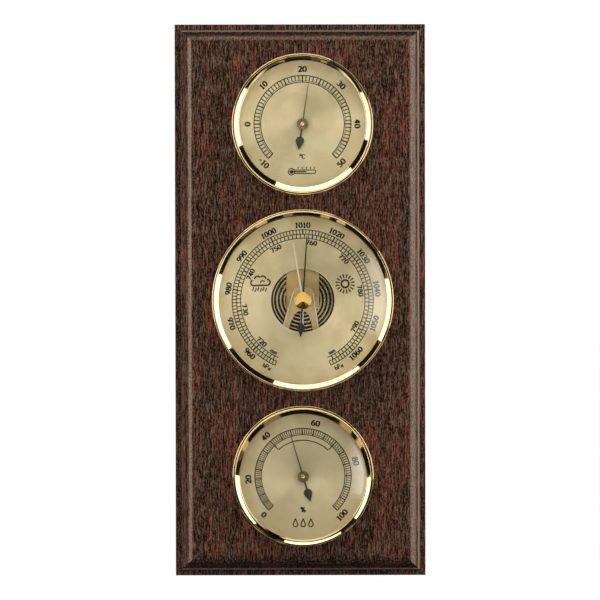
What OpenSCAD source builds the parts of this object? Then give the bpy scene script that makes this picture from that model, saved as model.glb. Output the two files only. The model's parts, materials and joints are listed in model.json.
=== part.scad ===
// Wall-hung weather station: a moulded wooden board with a thermometer, a barometer and a hygrometer.
// The back of the board is the plane y = 0, the dials face -Y, and +Z is up.
// The origin is the middle of the board's back.

/* [Board] */
// Width of the board
board_w = 137; // [126:1:170]
// Height of the board
board_h = 302; // [294:1:360]
// Thickness of the board at its raised field
board_t = 18; // [17.5:0.5:26]
// Width of the flat rim outside the moulding
rim_w = 3.4; // [2:0.1:5]
// Height of the small step at the foot of the moulding
rim_step = 0.9; // [0.4:0.1:1.5]
// Width of the moulding from the rim to the field
ogee_w = 6.4; // [5:0.1:7.5]
// Steepest angle of the moulding, where its hollow meets its roll
ogee_angle = 65; // [45:1:78]
// Radius of the moulding's hollow
hollow_r = 2.3; // [1.2:0.1:3]

/* [Hanger] */
// Width of the hanger plate
hanger_w = 34; // [30:1:44]
// Height of the hanger plate
hanger_h = 14; // [13:0.5:15]
// Thickness of the hanger plate
hanger_t = 1.2; // [0.8:0.1:2]
// Distance from the top of the board down to the middle of the plate
hanger_drop = 10; // [9.5:0.1:10.5]
// Radius of the keyhole's round entry
key_r = 3.8; // [3:0.1:4]
// Radius of the keyhole's slot
slot_r = 1.9; // [1.2:0.1:2.2]
// Distance from the round entry up to the end of the slot
key_rise = 5.2; // [4.5:0.1:5.6]
// Depth of the pocket behind the keyhole
pocket_d = 7; // [5:0.5:9]
// Distance between the hanger screws
hanger_screw_gap = 26; // [22:0.5:27]
// Length of the hanger screws under the head
hanger_screw_l = 8; // [6:0.5:9]

/* [Instruments] */
// Distance from the middle dial up or down to the next one
dial_pitch = 96.2; // [94:0.1:98.5]
// Distance of the column of dials to the right of the board's middle
dial_shift = 1.4; // [-2:0.1:2]
// Outer radius of the two small bezels
small_bezel_r = 38.8; // [37:0.1:39.5]
// Outer radius of the barometer's bezel
big_bezel_r = 50.1; // [48:0.1:51]
// Height of the small bezels over the board
small_bezel_h = 6.8; // [6:0.1:9]
// Height of the barometer's bezel over the board
big_bezel_h = 8.2; // [7.4:0.1:10]
// Width of a bezel seen from the front
bezel_face_w = 4.45; // [4:0.05:5]
// Radius of the bead at the foot of a bezel
bead_r = 0.7; // [0.5:0.05:0.9]
// Depth of the hollow in the sloping face of a bezel
funnel_sag = 0.1; // [0.05:0.05:0.5]
// Depth of the thermometer and hygrometer cases behind the face of the board
case_depth = 15.8; // [15:0.1:17]
// Thickness of the case walls
case_wall = 0.6; // [0.4:0.05:0.8]
// Thickness of the case floors
case_floor = 0.7; // [0.5:0.05:1]
// Gap between a case and its bore in the board
case_gap = 0.8; // [0.6:0.05:1]
// Thickness of the flange on which a case hangs in the board
flange_t = 0.6; // [0.4:0.05:1]
// Thickness of the dials
dial_t = 0.5; // [0.3:0.05:0.8]
// Height of the spacer rings in the small instruments
small_spacer_h = 2; // [1.9:0.1:3]
// Height of the spacer ring in the barometer
big_spacer_h = 3.2; // [3.1:0.1:4]
// Thickness of the glasses
glass_t = 1.7; // [1.2:0.1:2]
// Rise of the domed glasses
glass_rise = 1.4; // [1.3:0.1:2]
// Width of the side clips
clip_w = 8; // [5:0.5:12]
// Thickness of the side clips
clip_t = 0.3; // [0.2:0.05:0.5]

/* [Readings] */
// Turn of the thermometer pointer from the top, clockwise
thermometer_turn = 8.7; // [-135:0.1:135]
// Turn of the barometer hand from the top, clockwise
barometer_turn = 4; // [-25:0.1:25]
// Turn of the set hand from the top, clockwise
set_turn = -9.5; // [-180:0.1:180]
// Turn of the hygrometer pointer from the top, clockwise
hygrometer_turn = -16.3; // [-134:0.1:134]

/* [Pointers] */
// Length of the small pointers from the axis to the tip
pointer_l = 22.5; // [18:0.5:30]
// Length of the tail of the small pointers
pointer_tail = 14.3; // [12:0.1:18]
// Radius of the drop on the tail of the small pointers
drop_r = 2.3; // [1.5:0.1:3]
// Distance from the axis to the drop
drop_at = 9.3; // [7:0.1:10]
// Radius of the small pointers' hubs
pointer_hub_r = 3; // [2.5:0.1:4]
// Length of the barometer hand from the axis to the tip
hand_l = 35.1; // [30:0.5:40]
// Length of the tail of the barometer hand
hand_tail = 19.9; // [17:0.1:24]
// Half width of the lozenge on the tail of the barometer hand
lozenge_r = 2.3; // [1.5:0.1:3]
// Distance from the axis to the middle of the lozenge
lozenge_at = 14.7; // [14:0.1:15.5]
// Length of the set hand
set_hand_l = 32; // [28:0.5:38]
// Radius of the knob on the barometer's glass
knob_r = 4.7; // [4:0.1:6]
// Height of the knob
knob_h = 3; // [2.4:0.1:5]
// Thickness of the pointers and hands
pointer_t = 0.4; // [0.3:0.05:0.5]

/* [Coils] */
// Width of the strip of the temperature and humidity coils
coil_w = 5; // [3:0.5:6]
// Thickness of that strip
coil_t = 0.5; // [0.3:0.05:0.7]
// Number of turns of the coils
coil_turns = 5; // [4:1:6]
// Radius of the coils at their fixed outer end
coil_r = 12; // [11:0.5:16]
// Number of turns of the hairspring
hair_turns = 3; // [2:1:3]
// Thickness of the hairspring
hair_t = 0.25; // [0.15:0.05:0.3]

/* [Barometer movement] */
// Radius of the opening in the middle of the barometer's dial
dial_hole_r = 17.3; // [14:0.1:19]
// Radius of the plate that carries the movement
plate_r = 32; // [31.5:0.5:38]
// Thickness of that plate
plate_t = 1.2; // [1:0.1:1.4]
// Radius of the aneroid capsule
capsule_r = 19; // [17.5:0.1:19.5]
// Height of the capsule without its ridges
capsule_h = 4; // [3.5:0.1:4.2]
// Radius of the innermost ridge of the capsule
first_ridge = 6; // [5:0.1:6.5]
// Distance between the ridges
ridge_pitch = 2.05; // [1.6:0.05:2.1]
// Number of ridges
ridges = 6; // [4:1:6]
// Width of the leaf spring
spring_w = 18; // [14:0.5:20]
// Thickness of the leaf spring
spring_t = 0.8; // [0.6:0.05:0.9]
// Gap between the capsule and the leaf spring
spring_gap = 1; // [0.8:0.05:1.1]
// Turn of the hand bracket from upright, clockwise
bracket_turn = 4.2; // [0:0.1:8]
// Angle of the bracket's sloping sides from its middle line
bracket_spread = 12.25; // [10:0.25:13]
// Half width of the bracket at the hand's axis
bracket_half_w = 6.7; // [6.4:0.05:7]
// Thickness of the bracket
bracket_t = 0.8; // [0.6:0.05:0.9]
// Depth of the bracket's folded edges
fold_d = 2.2; // [1.2:0.1:2.8]
// Length of the rocker's long arm
rocker_arm = 8.1; // [7.5:0.1:8.3]
// Length of the rocker's short arm
rocker_short = 2; // [1.8:0.1:2.1]
// Radius of the drum on the hand arbor
drum_r = 1.15; // [1:0.05:1.2]

/* [Hidden] */
$fn = 96;
over = 1;
slip = 0.05;
seat = 0.02;

small_z = dial_pitch;
rim_h = board_t - rim_step - ogee_w / sin(ogee_angle) * (1 - cos(ogee_angle));
roll_r = ogee_w / sin(ogee_angle) - hollow_r;

hanger_z = board_h / 2 - hanger_drop;
key_drop = 1.8;
key_z = hanger_z - key_drop;
hanger_screw_r = 1.2;
hanger_head_r = 2.6;
hanger_head_h = 1;
hanger_tip_l = 2;
hanger_tip_r = 0.2;
pilot_gap = 0.2;
pocket_side = 1.5;
pocket_under = 0.2;
pocket_above = 0.4;

bezel_wall_in = 1.15;
crest_r = 0.45;
lip_t = 0.35;
flange_in = 1.4;
glass_in = 2.6;
bore_in = 3.4;
spacer_w = 1.5;
dome_in = 0.4;
dome_steps = 12;
arc_steps = 10;

dial_top = flange_t + dial_t;
floor_top = case_floor - case_depth;
vent_r = 2;
vent_at = 22;
vents = 6;
clip_top = -4;
clip_bottom = -12.5;
barb_rise = 1.5;
barb_land = 0.5;
barb_back = 2;

stem_r = 3.2;
rivet_r = 4.2;
rivet_h = 0.95;
adjuster_flange_r = 4.6;
adjuster_flange_h = 1.25;
adjuster_top = floor_top + slip + adjuster_flange_h;
adjuster_slot_w = 1;
adjuster_slot_d = 0.6;
pivot_depth = 0.9;
arbor_r = 0.5;
coil_bracket_t = 0.6;
coil_bracket_w = 4;
coil_bracket_r = 4.2;
coil_bracket_hole_r = 1;
coil_lift = 1.7;
coil_bottom = adjuster_top + coil_bracket_t + coil_lift;
coil_core_r = 1.75;
coil_margin = 0.2;
bush_flange_r = 3.2;
bush_flange_h = 0.8;
bush_r = 1.55;
bush_nose = 0.2;
pointer_lift = 0.5;
small_pointer_z = dial_top + pointer_lift;
small_hub_h = 1.1;
needle_root = 0.65;
needle_tip = 0.25;
tail_half_w = 0.45;
drop_angle = 25;
cap_r = 1.1;
cap_h = 0.6;
cap_wall = 0.15;

bracket_top = -0.8;
bracket_bottom = bracket_top - bracket_t;
bracket_crown = 7.2;
crown_r = 3.6;
crown_end = 8;
shoulder = 3.2;
fold_top = 4.6;
arch_top = -5.8;
arch_r = 4.6;
arch_flare = 0.6;
leg_z = -22.6;
leg_w = 3.6;
bracket_foot_l = 5;
bush_hole_r = 0.8;
post_at = 4.7;
post_r = 0.7;
strap_t = 0.6;
strap_w = 2.4;
strap_drop = 3.8;
strap_bottom = bracket_bottom - strap_drop;
pivot_r = 0.5;
drum_drop = 2.4;
drum_bottom = bracket_bottom - drum_drop;
drum_h = 1.2;
hair_drop = 0.9;
hair_bottom = bracket_bottom - hair_drop;
hair_h = 0.5;
hair_core_r = 1.3;
hand_lift = 1.3;
hand_z = dial_top + hand_lift;
hand_hub_h = 1.2;
hand_hub_r = 2.6;
hub_wall = 0.25;
hand_root = 0.85;
hand_tip = 0.4;
lozenge_l = 3.2;

stud_r = 1.55;
nut_r = 2.4;
nut_h = 1.1;
nut_gap = 0.7;
spring_top = strap_bottom - nut_gap - nut_h;
spring_bottom = spring_top - spring_t;
spring_end = -5;
riser_gap = 4;
riser_z = capsule_r + riser_gap;
bend_r = 1.2;
foot_l = 8;
foot_end = riser_z + foot_l;
foot_edge = 3.5;
foot_screw_x = 5;
foot_screw_z = foot_end - foot_edge;
boss_r = 2.5;
boss_h = 0.9;
ridge_h = 0.45;
ridge_half_w = 0.45;
capsule_top = spring_bottom - spring_gap;
plate_top = capsule_top - capsule_h - boss_h;
big_floor_top = plate_top - plate_t;
big_case_depth = case_floor - big_floor_top;
screw_r = 0.95;
screw_head_r = 1.7;
screw_head_h = 1;
screw_slot_w = 0.4;
screw_slot_d = 0.4;
pressure_screw_r = 1.5;
pressure_screw_out = 0.6;
pressure_hole_r = 2.2;
mount_screw_at = 27;
mount_screw_r = 1.2;
mount_head_r = 2.2;
mount_head_h = 1;

rocker_gap = 4;
rocker_z = -(capsule_r + rocker_gap);
rocker_y = drum_bottom + drum_h / 2 - rocker_arm;
rocker_shaft_r = 0.6;
rocker_half_l = 4.7;
rocker_arm_t = 0.6;
rocker_arm_half = 0.45;
short_arm_x = 0.7;
short_arm_half = 0.5;
chain_r = 0.15;
chain_x = -(drum_r + chain_r + seat);
pin_r = 0.35;
pin_out = 0.5;
pin_z = rocker_z + rocker_short;
eye_r = 1.05;
eye_hole_r = 0.62;
lever_w = 1;
lever_t = 0.8;
lever_gap = 0.3;
lever_start = -(nut_r + lever_gap);
link_t = 0.5;
link_half_w = 0.735;
ear_x = 3.6;
ear_t = 0.8;
ear_w = 2.4;

glass_inner = dial_top + big_spacer_h + glass_rise;
glass_outer = glass_inner + glass_t;
glass_hole_r = 1.68;
set_stem_r = 1.6;
set_flange_r = 2.8;
set_flange_h = 0.7;
set_flange_gap = 0.1;
set_flange_top = glass_inner - set_flange_gap;
set_hand_top = set_flange_top - set_flange_h;
set_root = 0.7;
set_tip = 0.4;
washer_r = 3;
washer_t = 0.2;
knob_bottom = glass_outer + washer_t + slip;
knob_skirt_h = 1.4;
knob_tip_r = 0.5;
stem_in_knob = 1.3;
stem_top = knob_bottom + stem_in_knob;

wood = "#4a3126";
brass = "#d8b45a";
champagne = "#cdbb8e";
blue_steel = "#1f2a30";
olive = "#3d3a22";
pale_brass = "#e8dcb4";
steel = "#b9b4ac";
dark_metal = "#3a3632";
grey_metal = "#a08f80";
spring_tan = "#a98a5c";
clear = [0.85, 0.9, 0.9, 0.3];

// Points on an arc, from one angle to another
function arc(c, r, from, to, steps = arc_steps) =
    [for (i = [0 : steps]) let (a = from + (to - from) * i / steps) c + r * [cos(a), sin(a)]];

// Outline of a flat spiral strip whose outer end lies on the +X axis
function spiral_side(r_in, r_out, turns, shift) =
    [for (i = [0 : 24 * turns])
        let (a = 15 * i - 360 * turns, r = r_in + (r_out - r_in) * i / (24 * turns) + shift)
        r * [cos(a), sin(a)]];
function reversed(points) = [for (i = [len(points) - 1 : -1 : 0]) points[i]];
function spiral(r_in, r_out, turns, t) =
    concat(spiral_side(r_in, r_out, turns, t / 2), reversed(spiral_side(r_in, r_out, turns, -t / 2)));

// Places a piece on the face of the board: its own +Z then points out of the dial and +Y points up
module on_board(z = 0) {
    translate([dial_shift, -board_t, z]) rotate([90, 0, 0]) children();
}

// A disc or tube between two heights
module ring(r_out, r_in, from, to) {
    difference() {
        translate([0, 0, from]) cylinder(r = r_out, h = to - from);
        translate([0, 0, from - over]) cylinder(r = r_in, h = to - from + 2 * over);
    }
}

module disc(r, from, to) {
    translate([0, 0, from]) cylinder(r = r, h = to - from);
}

// A block given by its lowest and highest corners
module block(low, high) {
    translate(low) cube(high - low);
}

// Board

// Cross-section of what the moulding cutter takes off, as depth from the edge and height from the back
function moulding() =
    concat(
        [[-over, rim_h], [rim_w, rim_h]],
        arc([rim_w, rim_h + rim_step + hollow_r], hollow_r, -90, ogee_angle - 90),
        reversed(arc([rim_w + ogee_w, board_t - roll_r], roll_r, 90, 90 + ogee_angle)),
        [[rim_w + ogee_w, board_t + over], [-over, board_t + over]]
    );

module moulding_cut(half, length) {
    linear_extrude(height = length + 2 * over, center = true)
        polygon([for (p = moulding()) [half - p[0], -p[1]]]);
}

module bore_through(z, bezel_r) {
    on_board(z) disc(bezel_r - bore_in, -board_t - over, over);
}

module keyhole(depth) {
    translate([0, over, key_z]) rotate([90, 0, 0]) {
        cylinder(r = key_r, h = depth + over);
        translate([0, key_rise, 0]) cylinder(r = slot_r, h = depth + over);
        translate([-slot_r, 0, 0]) cube([2 * slot_r, key_rise, depth + over]);
    }
}

module board() {
    color(wood) difference() {
        block([-board_w / 2, -board_t, -board_h / 2], [board_w / 2, 0, board_h / 2]);
        for (side = [0, 1]) {
            mirror([side, 0, 0]) moulding_cut(board_w / 2, board_h);
            mirror([0, 0, side]) rotate([0, -90, 0]) moulding_cut(board_h / 2, board_w);
        }
        bore_through(small_z, small_bezel_r);
        bore_through(0, big_bezel_r);
        bore_through(-small_z, small_bezel_r);
        block(
            [-hanger_w / 2 - slip, -hanger_t, hanger_z - hanger_h / 2 - slip],
            [hanger_w / 2 + slip, over, hanger_z + hanger_h / 2 + slip]
        );
        block(
            [-key_r - pocket_side, -hanger_t - pocket_d, key_z - key_r - pocket_under],
            [key_r + pocket_side, 0, key_z + key_rise + slot_r + pocket_above]
        );
        for (x = [-1, 1])
            translate([x * hanger_screw_gap / 2, over, hanger_z]) rotate([90, 0, 0])
                cylinder(r = hanger_screw_r + seat, h = hanger_screw_l + over + pilot_gap);
    }
}

// Hanger

module hanger_plate() {
    color(steel) difference() {
        block(
            [-hanger_w / 2, -hanger_t, hanger_z - hanger_h / 2],
            [hanger_w / 2, 0, hanger_z + hanger_h / 2]
        );
        keyhole(hanger_t + over);
        for (x = [-1, 1])
            translate([x * hanger_screw_gap / 2, 0, hanger_z]) rotate([90, 0, 0]) {
                translate([0, 0, -over]) cylinder(r = hanger_screw_r + seat, h = hanger_t + 2 * over);
                cylinder(r1 = hanger_head_r + seat, r2 = hanger_screw_r + seat, h = hanger_head_h);
            }
    }
}

module hanger_screws() {
    color(brass) for (x = [-1, 1])
        translate([x * hanger_screw_gap / 2, 0, hanger_z]) rotate([90, 0, 0]) difference() {
            union() {
                cylinder(r1 = hanger_head_r, r2 = hanger_screw_r, h = hanger_head_h);
                translate([0, 0, hanger_head_h / 2])
                    cylinder(r = hanger_screw_r, h = hanger_screw_l - hanger_tip_l - hanger_head_h / 2);
                translate([0, 0, hanger_screw_l - hanger_tip_l])
                    cylinder(r1 = hanger_screw_r, r2 = hanger_tip_r, h = hanger_tip_l);
            }
            translate([-hanger_head_r, -screw_slot_w / 2, -over])
                cube([2 * hanger_head_r, screw_slot_w, over + screw_slot_d]);
        }
}

// Pieces that all three instruments have

module case_cup(bezel_r, depth) {
    case_r = bezel_r - bore_in - case_gap;
    difference() {
        union() {
            disc(case_r, -depth, flange_t);
            disc(bezel_r - flange_in, 0, flange_t);
        }
        disc(case_r - case_wall, case_floor - depth, flange_t + over);
        children();
    }
}

module clips(bezel_r) {
    case_r = bezel_r - bore_in - case_gap;
    bore_r = bezel_r - bore_in;
    color(steel) intersection() {
        rotate_extrude() polygon([
            [case_r, clip_bottom], [case_r + clip_t, clip_bottom],
            [bore_r, clip_bottom + barb_rise], [bore_r, clip_bottom + barb_rise + barb_land],
            [case_r + clip_t, clip_bottom + barb_rise + barb_land + barb_back],
            [case_r + clip_t, clip_top], [case_r, clip_top],
        ]);
        union() for (a = [90, 210, 330])
            rotate(a) translate([case_r / 2, -clip_w / 2, clip_bottom - over])
                cube([case_r, clip_w, clip_top - clip_bottom + 2 * over]);
    }
}

// Cross-section of a bezel: bead, wall, rounded crest, hollow slope down to the lip, seat over the glass
function bezel_section(bezel_r, height, spacer_h) =
    let (
        seat_r = bezel_r - flange_in + slip,
        inner_r = bezel_r - glass_in + slip,
        lip_r = bezel_r - bezel_face_w,
        glass_top = dial_top + spacer_h + glass_t,
        wall_r = bezel_r - bezel_wall_in,
        top = [wall_r - crest_r, height],
        lip = [lip_r, glass_top + lip_t],
        run = lip - top,
        side = [run[1], -run[0]] / norm(run)
    )
    concat(
        [[seat_r, 0]],
        arc([bezel_r - bead_r, bead_r], bead_r, -90, 130),
        arc([wall_r - crest_r, height - crest_r], crest_r, 0, 90, 6),
        [for (i = [1 : 9]) let (t = i / 10) top + run * t - side * funnel_sag * 4 * t * (1 - t)],
        [lip, [lip_r, glass_top], [inner_r, glass_top], [inner_r, flange_t], [seat_r, flange_t]]
    );

module bezel(bezel_r, height, spacer_h) {
    color(brass) rotate_extrude() polygon(bezel_section(bezel_r, height, spacer_h));
}

// Height of the dome above its flat edge
function dome(r, dome_r) = glass_rise * (1 - pow(r / dome_r, 2));

module glass(bezel_r, spacer_h, hole_r) {
    edge_r = bezel_r - glass_in;
    dome_r = bezel_r - bezel_face_w - dome_in;
    bottom = dial_top + spacer_h;
    radii = [for (i = [0 : dome_steps]) hole_r + (dome_r - hole_r) * i / dome_steps];
    under = [for (r = radii) [r, bottom + dome(r, dome_r)]];
    above = [for (r = radii) [r, bottom + glass_t + dome(r, dome_r)]];
    color(clear) rotate_extrude()
        polygon(concat(under, [[edge_r, bottom], [edge_r, bottom + glass_t]], reversed(above)));
}

module spacer(bezel_r, spacer_h) {
    edge_r = bezel_r - glass_in;
    color(brass) ring(edge_r, edge_r - spacer_w, dial_top, dial_top + spacer_h);
}

module dial(bezel_r, hole_r) {
    color(champagne) ring(bezel_r - glass_in, hole_r, flange_t, dial_top);
}

// Thermometer and hygrometer

module small_case() {
    color(steel) case_cup(small_bezel_r, case_depth) {
        disc(stem_r + slip, -case_depth - over, floor_top + over);
        for (i = [0 : vents - 1])
            rotate(360 / vents * (i + 0.5)) translate([vent_at, 0, 0])
                disc(vent_r, -case_depth - over, floor_top + over);
    }
}

module bush() {
    color(brass) difference() {
        union() {
            disc(bush_flange_r, flange_t - bush_flange_h, flange_t);
            disc(bush_r, flange_t - bush_flange_h, dial_top + bush_nose);
        }
        disc(arbor_r + slip, flange_t - bush_flange_h - over, dial_top + bush_nose + over);
    }
}

module adjuster() {
    rivet_top = -case_depth - slip;
    color(brass) difference() {
        union() {
            disc(rivet_r, rivet_top - rivet_h, rivet_top);
            disc(stem_r, rivet_top - rivet_h, adjuster_top);
            disc(adjuster_flange_r, floor_top + slip, adjuster_top);
        }
        disc(arbor_r + slip, adjuster_top - pivot_depth, adjuster_top + over);
        block(
            [-rivet_r - over, -adjuster_slot_w / 2, rivet_top - rivet_h - over],
            [rivet_r + over, adjuster_slot_w / 2, rivet_top - rivet_h + adjuster_slot_d]
        );
    }
}

module coil_bracket() {
    color(steel) difference() {
        union() {
            disc(coil_bracket_r, adjuster_top, adjuster_top + coil_bracket_t);
            block(
                [0, -coil_bracket_w / 2, adjuster_top],
                [coil_r + coil_bracket_t, coil_bracket_w / 2, adjuster_top + coil_bracket_t]
            );
            block(
                [coil_r, -coil_bracket_w / 2, adjuster_top],
                [coil_r + coil_bracket_t, coil_bracket_w / 2, coil_bottom + coil_w + coil_margin]
            );
        }
        disc(coil_bracket_hole_r, adjuster_top - over, adjuster_top + coil_bracket_t + over);
    }
}

// The fixed end of the coil stands square to its bracket, a flat wider than its last bit of curve
module coil() {
    middle_in = coil_core_r + seat + coil_t / 2;
    middle_out = coil_r - seat - coil_t / 2;
    gap = (middle_out - middle_in) / coil_turns - coil_t;
    echo(coil_gap = gap);
    translate([0, 0, coil_bottom]) linear_extrude(height = coil_w)
        polygon(spiral(middle_in, middle_out, coil_turns, coil_t));
}

module small_arbor() {
    arbor_top = small_pointer_z + small_hub_h + cap_h - cap_wall - slip;
    color(steel) union() {
        disc(arbor_r, adjuster_top - pivot_depth + slip, arbor_top);
        disc(coil_core_r, coil_bottom - coil_margin, coil_bottom + coil_w + coil_margin);
    }
}

// Outline of a small pointer that points to +Y: a fine needle, a hub and a drop-shaped tail
module small_pointer(turn) {
    color(olive) rotate(-turn) difference() {
        union() {
            translate([0, 0, small_pointer_z]) linear_extrude(height = pointer_t) {
                polygon([
                    [-needle_root, 0], [needle_root, 0],
                    [needle_tip, pointer_l], [-needle_tip, pointer_l],
                ]);
                translate([-tail_half_w, -drop_at]) square([2 * tail_half_w, drop_at]);
                polygon(concat(
                    arc([0, -drop_at], drop_r, -drop_angle, 180 + drop_angle, 16),
                    [[0, -pointer_tail]]
                ));
            }
            disc(pointer_hub_r, small_pointer_z, small_pointer_z + small_hub_h);
        }
        disc(arbor_r + seat, small_pointer_z - over, small_pointer_z + small_hub_h + over);
    }
}

module cap() {
    color(brass) difference() {
        disc(cap_r, small_pointer_z + small_hub_h, small_pointer_z + small_hub_h + cap_h);
        disc(arbor_r + seat, small_pointer_z, small_pointer_z + small_hub_h + cap_h - cap_wall);
    }
}

module thermometer_case() on_board(small_z) small_case();
module thermometer_clips() on_board(small_z) clips(small_bezel_r);
module thermometer_bezel() on_board(small_z) bezel(small_bezel_r, small_bezel_h, small_spacer_h);
module thermometer_glass() on_board(small_z) glass(small_bezel_r, small_spacer_h, 0);
module thermometer_spacer() on_board(small_z) spacer(small_bezel_r, small_spacer_h);
module thermometer_dial() on_board(small_z) dial(small_bezel_r, bush_r + seat);
module thermometer_bush() on_board(small_z) bush();
module thermometer_adjuster() on_board(small_z) adjuster();
module thermometer_coil_bracket() on_board(small_z) coil_bracket();
module bimetal_coil() color(grey_metal) on_board(small_z) coil();
module thermometer_arbor() on_board(small_z) small_arbor();
module thermometer_pointer() on_board(small_z) small_pointer(thermometer_turn);
module thermometer_cap() on_board(small_z) cap();

module hygrometer_case() on_board(-small_z) small_case();
module hygrometer_clips() on_board(-small_z) clips(small_bezel_r);
module hygrometer_bezel() on_board(-small_z) bezel(small_bezel_r, small_bezel_h, small_spacer_h);
module hygrometer_glass() on_board(-small_z) glass(small_bezel_r, small_spacer_h, 0);
module hygrometer_spacer() on_board(-small_z) spacer(small_bezel_r, small_spacer_h);
module hygrometer_dial() on_board(-small_z) dial(small_bezel_r, bush_r + seat);
module hygrometer_bush() on_board(-small_z) bush();
module hygrometer_adjuster() on_board(-small_z) adjuster();
module hygrometer_coil_bracket() on_board(-small_z) coil_bracket();
module humidity_coil() color(spring_tan) on_board(-small_z) coil();
module hygrometer_arbor() on_board(-small_z) small_arbor();
module hygrometer_pointer() on_board(-small_z) small_pointer(hygrometer_turn);
module hygrometer_cap() on_board(-small_z) cap();

// Barometer

module at_mount_screws() {
    for (a = [20, 160, 270])
        rotate(a) translate([mount_screw_at, 0, 0]) children();
}

module at_foot_screws() {
    for (x = [-1, 1])
        translate([x * foot_screw_x, foot_screw_z, 0]) children();
}

// Places copies at the two feet of the hand bracket
module at_bracket_feet() {
    rotate(-bracket_turn) for (x = [-1, 1])
        translate([x * bracket_foot_x(), leg_z - bracket_foot_l / 2 - bracket_t, 0]) children();
}
function bracket_foot_x() = bracket_half_w - leg_z * tan(bracket_spread) - leg_w / 2;

// A small slotted screw whose head sits on a surface
module small_screw(surface, depth) {
    difference() {
        union() {
            disc(screw_head_r, surface, surface + screw_head_h);
            disc(screw_r, surface - depth, surface + screw_head_h / 2);
        }
        block(
            [-screw_head_r - over, -screw_slot_w / 2, surface + screw_head_h - screw_slot_d],
            [screw_head_r + over, screw_slot_w / 2, surface + screw_head_h + over]
        );
    }
}

module barometer_case() on_board() color(steel) case_cup(big_bezel_r, big_case_depth) {
    translate([0, foot_screw_z, 0]) disc(pressure_hole_r, -big_case_depth - over, big_floor_top + over);
    at_mount_screws() disc(mount_screw_r + seat, -big_case_depth - over, big_floor_top + over);
}

module barometer_clips() on_board() clips(big_bezel_r);
module barometer_bezel() on_board() bezel(big_bezel_r, big_bezel_h, big_spacer_h);
module barometer_glass() on_board() glass(big_bezel_r, big_spacer_h, glass_hole_r);
module barometer_spacer() on_board() spacer(big_bezel_r, big_spacer_h);
module barometer_dial() on_board() dial(big_bezel_r, dial_hole_r);

module movement_plate() on_board() color(brass) difference() {
    disc(plate_r, big_floor_top, plate_top);
    at_mount_screws() disc(mount_screw_r + seat, big_floor_top - over, plate_top + over);
    at_foot_screws() disc(screw_r + seat, big_floor_top - over, plate_top + over);
    at_bracket_feet() disc(screw_r + seat, big_floor_top - over, plate_top + over);
    translate([0, foot_screw_z, 0]) disc(pressure_screw_r + slip, big_floor_top - over, plate_top + over);
}

module movement_screws() on_board() color(steel) at_mount_screws() difference() {
    union() {
        disc(mount_head_r, -big_case_depth - mount_head_h, -big_case_depth);
        disc(mount_screw_r, -big_case_depth - mount_head_h / 2, plate_top);
    }
    block(
        [-mount_head_r - over, -screw_slot_w / 2, -big_case_depth - mount_head_h - over],
        [mount_head_r + over, screw_slot_w / 2, -big_case_depth - mount_head_h + screw_slot_d]
    );
}

module aneroid_capsule() on_board() color(dark_metal) union() {
    disc(boss_r, plate_top, plate_top + boss_h + slip);
    disc(capsule_r, plate_top + boss_h, capsule_top);
    rotate_extrude() for (i = [0 : ridges - 1])
        translate([first_ridge + i * ridge_pitch, capsule_top - slip]) polygon([
            [-ridge_half_w, 0], [ridge_half_w, 0],
            [ridge_half_w / 2, ridge_h], [-ridge_half_w / 2, ridge_h],
        ]);
}

module capsule_stud() on_board() color(brass) union() {
    disc(stud_r, capsule_top, spring_top + nut_h + slip);
    difference() {
        translate([0, 0, spring_top]) cylinder(r = nut_r, h = nut_h, $fn = 6);
        disc(stud_r - slip, spring_top - over, spring_top + nut_h + over);
    }
}

// Side view of the bent leaf spring, as height up the board and height off it
function spring_side() =
    let (
        r_out = bend_r + spring_t,
        top_bend = [riser_z - r_out, spring_top - r_out],
        foot_bend = [riser_z + bend_r, plate_top + spring_t + bend_r]
    )
    concat(
        [[spring_end, spring_top]],
        arc(top_bend, r_out, 90, 0),
        arc(foot_bend, bend_r, 180, 270),
        [[foot_end, plate_top + spring_t], [foot_end, plate_top]],
        reversed(arc(foot_bend, bend_r + spring_t, 180, 270)),
        reversed(arc(top_bend, bend_r, 90, 0)),
        [[spring_end, spring_bottom]]
    );

module leaf_spring() on_board() color(spring_tan) difference() {
    rotate([90, 0, 90]) linear_extrude(height = spring_w, center = true) polygon(spring_side());
    disc(stud_r + slip, spring_bottom - over, spring_top + over);
    at_foot_screws() disc(screw_r + seat, plate_top - over, plate_top + spring_t + over);
}

module leaf_spring_screws() on_board() color(steel)
    at_foot_screws() small_screw(plate_top + spring_t, spring_t + plate_t);

module pressure_screw() on_board() color(steel) translate([0, foot_screw_z, 0]) difference() {
    tail = -big_case_depth - pressure_screw_out;
    disc(pressure_screw_r, tail, plate_top - slip);
    block(
        [-pressure_screw_r - over, -screw_slot_w / 2, tail - over],
        [pressure_screw_r + over, screw_slot_w / 2, tail + adjuster_slot_d]
    );
}

// Half of the bracket's face, from the crown down one leg, right of its middle line
function bracket_side(y) = bracket_half_w - y * tan(bracket_spread);
function bracket_face() = concat(
    [[0, arch_top], [0, bracket_crown]],
    reversed(arc([bracket_side(shoulder) - crown_r, bracket_crown - crown_r], crown_r, crown_end, 90)),
    [
        [bracket_side(shoulder), shoulder],
        [bracket_side(leg_z), leg_z],
        [bracket_side(leg_z) - leg_w, leg_z],
        [bracket_side(arch_top - arch_r) - leg_w, arch_top - arch_r - arch_flare],
    ],
    arc([0, arch_top - arch_r], arch_r, 0, 80, 8)
);

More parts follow.
